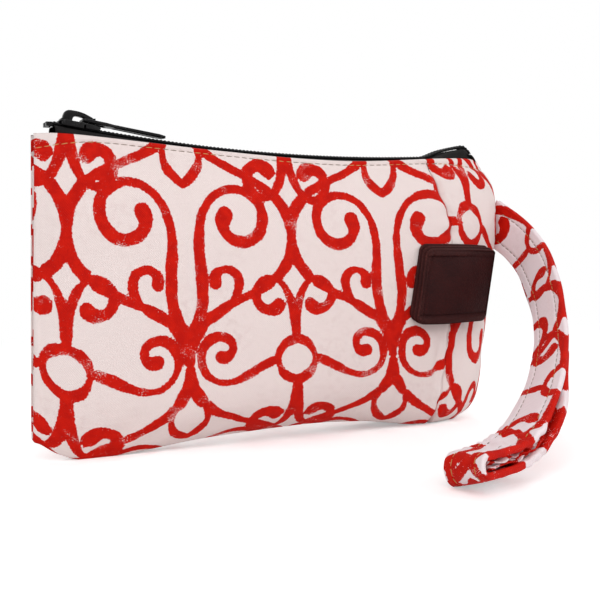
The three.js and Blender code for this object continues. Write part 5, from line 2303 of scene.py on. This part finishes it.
@dataclass
class WristStrap:
    """Flat strap of padded printed cloth, folded back on itself and sewn in the end seam."""

    design: ScrollPrint
    wardrobe: Wardrobe
    width: float = 19.0
    thick: float = 2.4
    root_thick: float = 0.9
    seat: tuple[float, float, float] = (98.85, 0.0, 82.0)
    closed: float = 1.22
    nose_far: float = 4.3
    nose_near: float = 2.8
    nose_lean: float = 4.5
    root_lean: float = 2.5
    open_from: float = 0.6
    sewn_at: float = 5.6
    lip: float = 0.9
    nose: float = 0.08
    stitch: float = 3.0
    stations: int = 190
    CUT = (31.0, 17.0)
    LINE = ((-1.6, 0.3, 2.0, 0.05, 0.0, 1.0), (0.4, -3.0, -0.2, 0.16, -0.25, 0.95),
            (1.2, -9.4, -4.0, 0.14, -0.4, 0.9), (0.8, -18, -8.9, 0.13, -0.5, 0.86),
            (-5.4, -34.2, -18.4, 0.17, -0.59, 0.79), (-13.6, -49.4, -28.6, 0.13, -0.62, 0.77),
            (-23.5, -63.3, -38.9, 0.16, -0.68, 0.71), (-34.7, -76.1, -49.1, 0.26, -0.75, 0.61),
            (-48.0, -87.7, -58.2, 0.33, -0.81, 0.49), (-62.8, -98.2, -66.1, 0.4, -0.85, 0.33),
            (-70.8, -103, -69, 0.44, -0.87, 0.21), (-79.3, -107.3, -70.1, 0.42, -0.9, 0.14),
            (-88.3, -111, -70, 0.31, -0.94, 0.14), (-95.5, -113.9, -69.8, 0.05, -0.98, 0.17))
    SLIP = ((0.0, 0.0), (0.12, -2.1), (0.3, -3.3), (0.45, -3.4), (0.56, -2.7), (0.66, -0.8), (0.74, 1.9),
            (0.8, 1.6), (0.87, 0.1), (0.94, 1.0), (1.0, 0.0))
    LEAVES = ((-0.66, 0.82, 8.4), (-0.12, 0.85, 7.3), (0.5, 0.8, 8.0))

    def __post_init__(self) -> None:
        """Lays the middle of the upper layer's outer face, with its directions."""
        knots = np.array(self.LINE)
        steps = run_along(knots[:, :3])
        fine = np.linspace(0.0, steps[-1], 1200)
        path = np.stack([curve_through(list(zip(steps, knots[:, k])))(fine) for k in range(6)], axis=-1)
        run = run_along(path[:, :3])
        self.length = float(run[-1])
        self.end = 2.0 + self.nose
        self.run = np.linspace(0.0, self.length, self.stations)
        slip = curve_through(self.SLIP)(self.run / self.length)
        laid = np.stack([np.interp(self.run, run, path[:, k]) for k in range(6)] + [slip], axis=-1)
        for _ in range(60):
            laid[1:-1] = 0.25 * laid[:-2] + 0.5 * laid[1:-1] + 0.25 * laid[2:]
        self.middle = laid[:, :3] + np.array(self.seat)
        self.forward = unit(np.gradient(self.middle, axis=0))
        self.slips = laid[:, 6]
        across = laid[:, 3:6]
        self.across = unit(across - np.sum(across * self.forward, axis=-1, keepdims=True) * self.forward)
        self.face = np.cross(self.forward, self.across)

    def _half_opening(self, share: np.ndarray, across: np.ndarray) -> np.ndarray:
        """Half the distance between the layers' middles, by place on the band."""
        nose = self.nose_near + (self.nose_far - self.nose_near) * (0.5 - across / self.width)
        return self.closed + (nose - self.closed) * smooth((share - self.open_from) / (1.0 - self.open_from))

    def _slip(self, share: np.ndarray) -> np.ndarray:
        """How far the under layer lies out from beneath the upper one."""
        return np.interp(share, self.run / self.length, self.slips)

    def band_at(self, run: np.ndarray, across: np.ndarray) -> tuple[np.ndarray, np.ndarray, np.ndarray]:
        """The band's middle surface, down the upper layer, round the nose and back.

        Args:
            run: Place along the whole band, 0 to 2 down and back, the nose between.
            across: Place across it in millimetres, positive on its outer edge.

        Returns:
            Points, the way outwards and the way across at each.
        """
        back = np.where(run <= 1.0, run, np.where(run < 1.0 + self.nose, 1.0, self.end - run))
        round_nose = np.clip((run - 1.0) / self.nose, 0.0, 1.0)
        turn = math.pi * round_nose
        at = np.clip(back, 0.0, 1.0) * (self.stations - 1)
        low = np.minimum(at.astype(int), self.stations - 2)
        part = (at - low)[..., None]

        def held(values: np.ndarray) -> np.ndarray:
            """Values between two stations."""
            return values[low] * (1.0 - part) + values[low + 1] * part

        across_way = unit(held(self.across))
        forward, face = unit(held(self.forward)), unit(held(self.face))
        outwards = np.cos(turn)[..., None] * face + np.sin(turn)[..., None] * forward
        half = self._half_opening(back, across)
        under = smooth(round_nose)
        sway = across + under * self._slip(back)
        crush = smooth((back - 0.74) / 0.12) * (1.0 - smooth((back - 0.93) / 0.07)) * (1.0 - 0.5 * under)
        folds = np.sin(back * 205.0 + 0.55 * across + 1.3 * np.sin(back * 61.0 + 0.3 * across))
        folds = 0.55 * folds + 0.35 * np.sin(back * 118.0 - 0.8 * across + 2.0)
        puff = 0.12 * np.sin(run * 41.0 + across * 0.22) + 0.62 * folds * crush
        points = held(self.middle) - face * (self.thick / 2 + half)[..., None]
        points = points + outwards * (half + puff)[..., None] + across_way * sway[..., None]
        wide = across / (self.width / 2)
        lean = self.nose_lean * wide * smooth((back - 0.87) / 0.13)
        lean = lean - self.root_lean * np.clip(wide, 0.0, 1.2) * (1.0 - smooth(back / 0.07))
        return points + forward * lean[..., None], outwards, across_way

    def _runs(self) -> np.ndarray:
        """Places along the band where its sections stand, close together round the nose."""
        down = np.linspace(0.0, 1.0, 176)
        return np.concatenate([down, self._round_nose()[1:-1], self.end - down[::-1]])

    def _round_nose(self) -> np.ndarray:
        """Places round the nose."""
        return np.linspace(1.0, 1.0 + self.nose, 17)

    def _section(self) -> tuple[np.ndarray, np.ndarray]:
        """A section of one layer: place across and height, once round."""
        flat_half, seam, lip = self.width / 2 - self.lip, self.sewn_at, self.lip
        near_seam = np.linspace(-0.5, 0.5, 5)
        across = np.concatenate([np.linspace(-flat_half, -seam - 0.8, 4), -seam + near_seam,
                                 np.linspace(-seam + 0.9, seam - 0.9, 12), seam + near_seam,
                                 np.linspace(seam + 0.8, flat_half, 4)])
        groove = sum(0.42 * gauss(across, spot, 0.4) for spot in (-seam, seam))
        pillow = 0.14 * (1.0 - (across / (self.width / 2)) ** 2) - 0.10
        turn = np.radians(np.linspace(75.0, -75.0, 7))
        out, rise = flat_half + lip * np.cos(turn), 0.5 * np.sin(turn)
        return (np.concatenate([across, out, np.linspace(flat_half, -flat_half, 12), -out[::-1]]),
                np.concatenate([0.5 + (pillow - groove) / self.thick, rise, np.full(12, -0.5), rise[::-1]]))

    def _thickness(self, run: np.ndarray) -> np.ndarray:
        """The layer's thickness, pressed flat by the seam."""
        from_seam = np.minimum(run, self.end - run) * self.length
        return self.root_thick + (self.thick - self.root_thick) * smooth(from_seam / 9.0)

    def _flat(self, run: np.ndarray, across: np.ndarray) -> np.ndarray:
        """The same place on the cloth before it was sewn, on the print."""
        return np.stack([across, run * self.length], axis=-1) + self.CUT

    def band(self) -> bpy.types.Mesh:
        """The whole padded band, one closed skin."""
        across, height = self._section()
        run, across = np.meshgrid(self._runs(), across, indexing="ij")
        points, outwards, _ = self.band_at(run, across)
        ripple = 0.10 * np.sin(run * self.length * 2.0 * math.pi / self.stitch)
        ripple = ripple * gauss(np.abs(across), self.sewn_at, 1.1) * (height > 0.2)
        points = points + outwards * (self._thickness(run) * height + ripple)[..., None]
        over_edge = np.where(height < 0, np.sign(across) * (0.5 - height) * self.thick, 0.0)
        flat = self._flat(run, across + over_edge)
        return one_part("strap_band", points, loft_faces(*run.shape), flat, ink=self.design.ink(flat))

    def gathers(self) -> bpy.types.Mesh:
        """The cloth crumpled in the open fold: leaves of it that lie along the band."""
        work = Patchwork()
        for k, (level, first, reach) in enumerate(self.LEAVES):
            share, part = np.meshgrid(np.linspace(first, 0.99, 70), np.linspace(0.0, 1.0, 26), indexing="ij")
            edge = reach + 0.55 * np.sin(share * 83.0 + 2.1 * k)
            across = -8.2 + (edge + 8.2) * part
            half = self._half_opening(share, across)
            room = np.clip(half - self.thick / 2 - 0.4, 0.05, None)
            wave = 0.3 * np.sin(share * 97.0 + 0.5 * across + k)
            wave = wave + 0.2 * np.sin(share * 41.0 - across + 3.0 * k)
            middle = room * np.clip(level + wave, -0.95, 0.95)
            thin = 0.42 * np.sqrt(np.clip(1.0 - (across / (edge + 0.02)) ** 6, 0.02, 1.0))
            top, outwards, _ = self.band_at(share, across)
            grids = [top + outwards * (middle - half + side * thin)[..., None] for side in (1.0, -1.0)]
            flat = self._flat(share * 1.7 + 0.3 * k, across)
            work.add_shell(*grids, flat, ink=self.design.ink(flat))
        return work.mesh("strap_gathers")

    def stitches(self) -> bpy.types.Mesh:
        """Both rows of stitches, down the upper layer, round the nose and back."""
        down = np.linspace(0.03, 1.0, 260)
        run = np.concatenate([down, self._round_nose()[1:], self.end - down[-2::-1]])
        sunk = self._thickness(run) / 2 - 0.36
        lines = []
        for spot in (-self.sewn_at, self.sewn_at):
            across = np.full(len(run), spot)
            points, outwards, _ = self.band_at(run, across)
            ink = self.design.ink(self._flat(run, across))
            lines.append((points + outwards * sunk[:, None], outwards, ink))
        work = LineWork(pitch=self.stitch, length=2.55, width=0.38, height=0.36, uneven=0.14, seed=5)
        return work.bake("strap_stitches", lines, self.wardrobe.thread)

    def build(self) -> None:
        """Makes the strap."""
        pieces = (("strap_band", self.band(), self.wardrobe.strap),
                  ("strap_gathers", self.gathers(), self.wardrobe.strap),
                  ("strap_stitches", self.stitches(), self.wardrobe.thread))
        for name, mesh, material in pieces:
            obj = place(name, mesh, material)
            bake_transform(obj)
            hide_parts("wrist_strap")


# Camera and light

@dataclass(frozen=True)
class Studio:
    """White sweep, soft lamps and the camera of the product view, in metres and degrees."""

    eye: tuple[float, float, float] = (-0.23165, -0.3527, 0.0713)
    yaw: float = 25.7
    down: float = 2.6
    roll: float = 1.3
    focal: float = 59.1
    sensor: float = 36.0
    floor_half: float = 3.0
    near_floor: float = 0.2
    far_floor: float = 0.55
    world_strength: float = 0.56
    paper_glow: float = 0.34
    middle: tuple[float, float, float] = (-0.06, 0.0, 0.05)
    LAMPS = (("Key", (-0.55, -0.75, 0.75), 0.7, 4.35), ("Fill", (0.7, -0.7, 0.4), 0.8, 2.8),
             ("Rim", (0.2, 0.8, 0.7), 0.6, 1.8))

    def camera(self) -> None:
        """Makes the camera and sets it as the scene's own."""
        yaw, down, roll = (math.radians(a) for a in (self.yaw, self.down, self.roll))
        ahead = np.array([math.sin(yaw), math.cos(yaw), 0.0])
        right = np.array([math.cos(yaw), -math.sin(yaw), 0.0])
        up = np.array([0.0, 0.0, math.cos(down)]) + ahead * math.sin(down)
        forward = ahead * math.cos(down) - np.array([0.0, 0.0, math.sin(down)])
        turned = right * math.cos(roll) - up * math.sin(roll)
        upright = up * math.cos(roll) + right * math.sin(roll)
        data = bpy.data.cameras.new("Product view")
        data.lens, data.sensor_width = self.focal, self.sensor
        data.clip_start, data.clip_end = 0.01, 50.0
        obj = linked("Product view", data)
        frame = Matrix(np.stack([turned, upright, -forward], axis=1).tolist()).to_4x4()
        frame.translation = Vector(self.eye)
        obj.matrix_world = frame
        bpy.context.scene.camera = obj

    def lamp(self, name: str, at: Sequence[float], size: float, watts: float) -> None:
        """Adds a soft square lamp that faces the pouch.

        Args:
            name: Its name.
            at: Where it stands.
            size: Length of its side.
            watts: Its power.
        """
        data = bpy.data.lights.new(name, "AREA")
        data.shape, data.size, data.energy = "SQUARE", size, watts
        obj = linked(name, data)
        obj.location = at
        obj.rotation_euler = (Vector(self.middle) - Vector(at)).to_track_quat("-Z", "Y").to_euler()

    @staticmethod
    def shown(w: Weaver) -> Socket:
        """One where the camera sees the background, also by reflection or through a clear piece."""
        path = w.node("ShaderNodeLightPath")
        turned = w.math("MAXIMUM", path.outputs["Is Glossy Ray"], path.outputs["Is Transmission Ray"])
        return w.math("MAXIMUM", path.outputs["Is Camera Ray"], turned)

    def sweep(self) -> None:
        """Adds the white floor, which glows a little towards the camera so that it reads as paper."""
        half = self.floor_half
        mesh = bpy.data.meshes.new("Paper floor")
        corners = [(-half, -half, 0.0), (half, -half, 0.0), (half, half, 0.0), (-half, half, 0.0)]
        mesh.from_pydata(corners, [], [(0, 1, 2, 3)])
        obj = linked("Paper floor", mesh)
        made = bpy.data.materials.new("White paper")
        made.use_nodes = True
        w = Weaver(made.node_tree)
        shader = made.node_tree.nodes["Principled BSDF"]
        where = w.place()
        fibre = w.mix(w.noise(where, 60.0, 4.0), (0.9, 0.9, 0.9, 1.0), (0.94, 0.94, 0.94, 1.0))
        w.fill(shader, {"Base Color": fibre, "Roughness": 0.95, "Specular IOR Level": 0.1})
        lit = self.shown(w)
        white = (1.0, 1.0, 1.0, 1.0)
        strength = w.math("MULTIPLY", lit, self.paper_glow)
        glow = w.node("ShaderNodeEmission", {"Color": white, "Strength": strength})
        both = w.node("ShaderNodeAddShader", [shader.outputs[0], glow.outputs[0]])
        plain = w.node("ShaderNodeEmission", {"Color": white})
        reach = w.node("ShaderNodeVectorMath", [where], operation="LENGTH").outputs["Value"]
        far = w.math("MULTIPLY", w.ramp(reach, self.near_floor, self.far_floor), lit)
        fading = w.node("ShaderNodeMixShader", [far, both.outputs[0], plain.outputs[0]])
        w.feed(made.node_tree.nodes["Material Output"].inputs["Surface"], fading.outputs[0])
        mesh.materials.append(made)

    def sky(self) -> None:
        """Lights the scene evenly and shows white behind it."""
        world = bpy.data.worlds.new("Soft room")
        world.use_nodes = True
        bpy.context.scene.world = world
        w = Weaver(world.node_tree)
        strength = w.math("MULTIPLY_ADD", self.shown(w), 1.0 - self.world_strength, self.world_strength)
        w.fill(world.node_tree.nodes["Background"], {"Color": (1.0, 1.0, 1.0, 1.0), "Strength": strength})

    def build(self) -> None:
        """Sets up camera, floor, sky and lamps."""
        self.camera()
        self.sweep()
        self.sky()
        for lamp in self.LAMPS:
            self.lamp(*lamp)
        bpy.context.scene.view_settings.view_transform = "Standard"


# Putting it together

def dress_node(node: bpy.types.Object, material: bpy.types.Material) -> None:
    """Gives a solid that is shown as it is its finish."""
    node.data.materials.clear()
    node.data.materials.append(material)


def main() -> None:
    """Builds the pouch's looks, piece by piece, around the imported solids."""
    logging.basicConfig(level=logging.INFO, format="%(message)s")
    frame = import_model()
    Studio().build()
    form = PouchForm()
    design = ScrollPrint()
    dress = Wardrobe()
    shell = PouchShell(form, design, dress)
    shell.build()
    Topstitching(shell).build()
    ZipChain(form, dress).build()
    ZipSlider(form, dress).build()
    LeatherPlate(form, dress).build()
    WristStrap(design, dress).build()
    for node in ("zip_stop_front", "zip_stop_back"):
        dress_node(frame["nodes"][node], dress.metal)


if __name__ == "__main__":
    main()
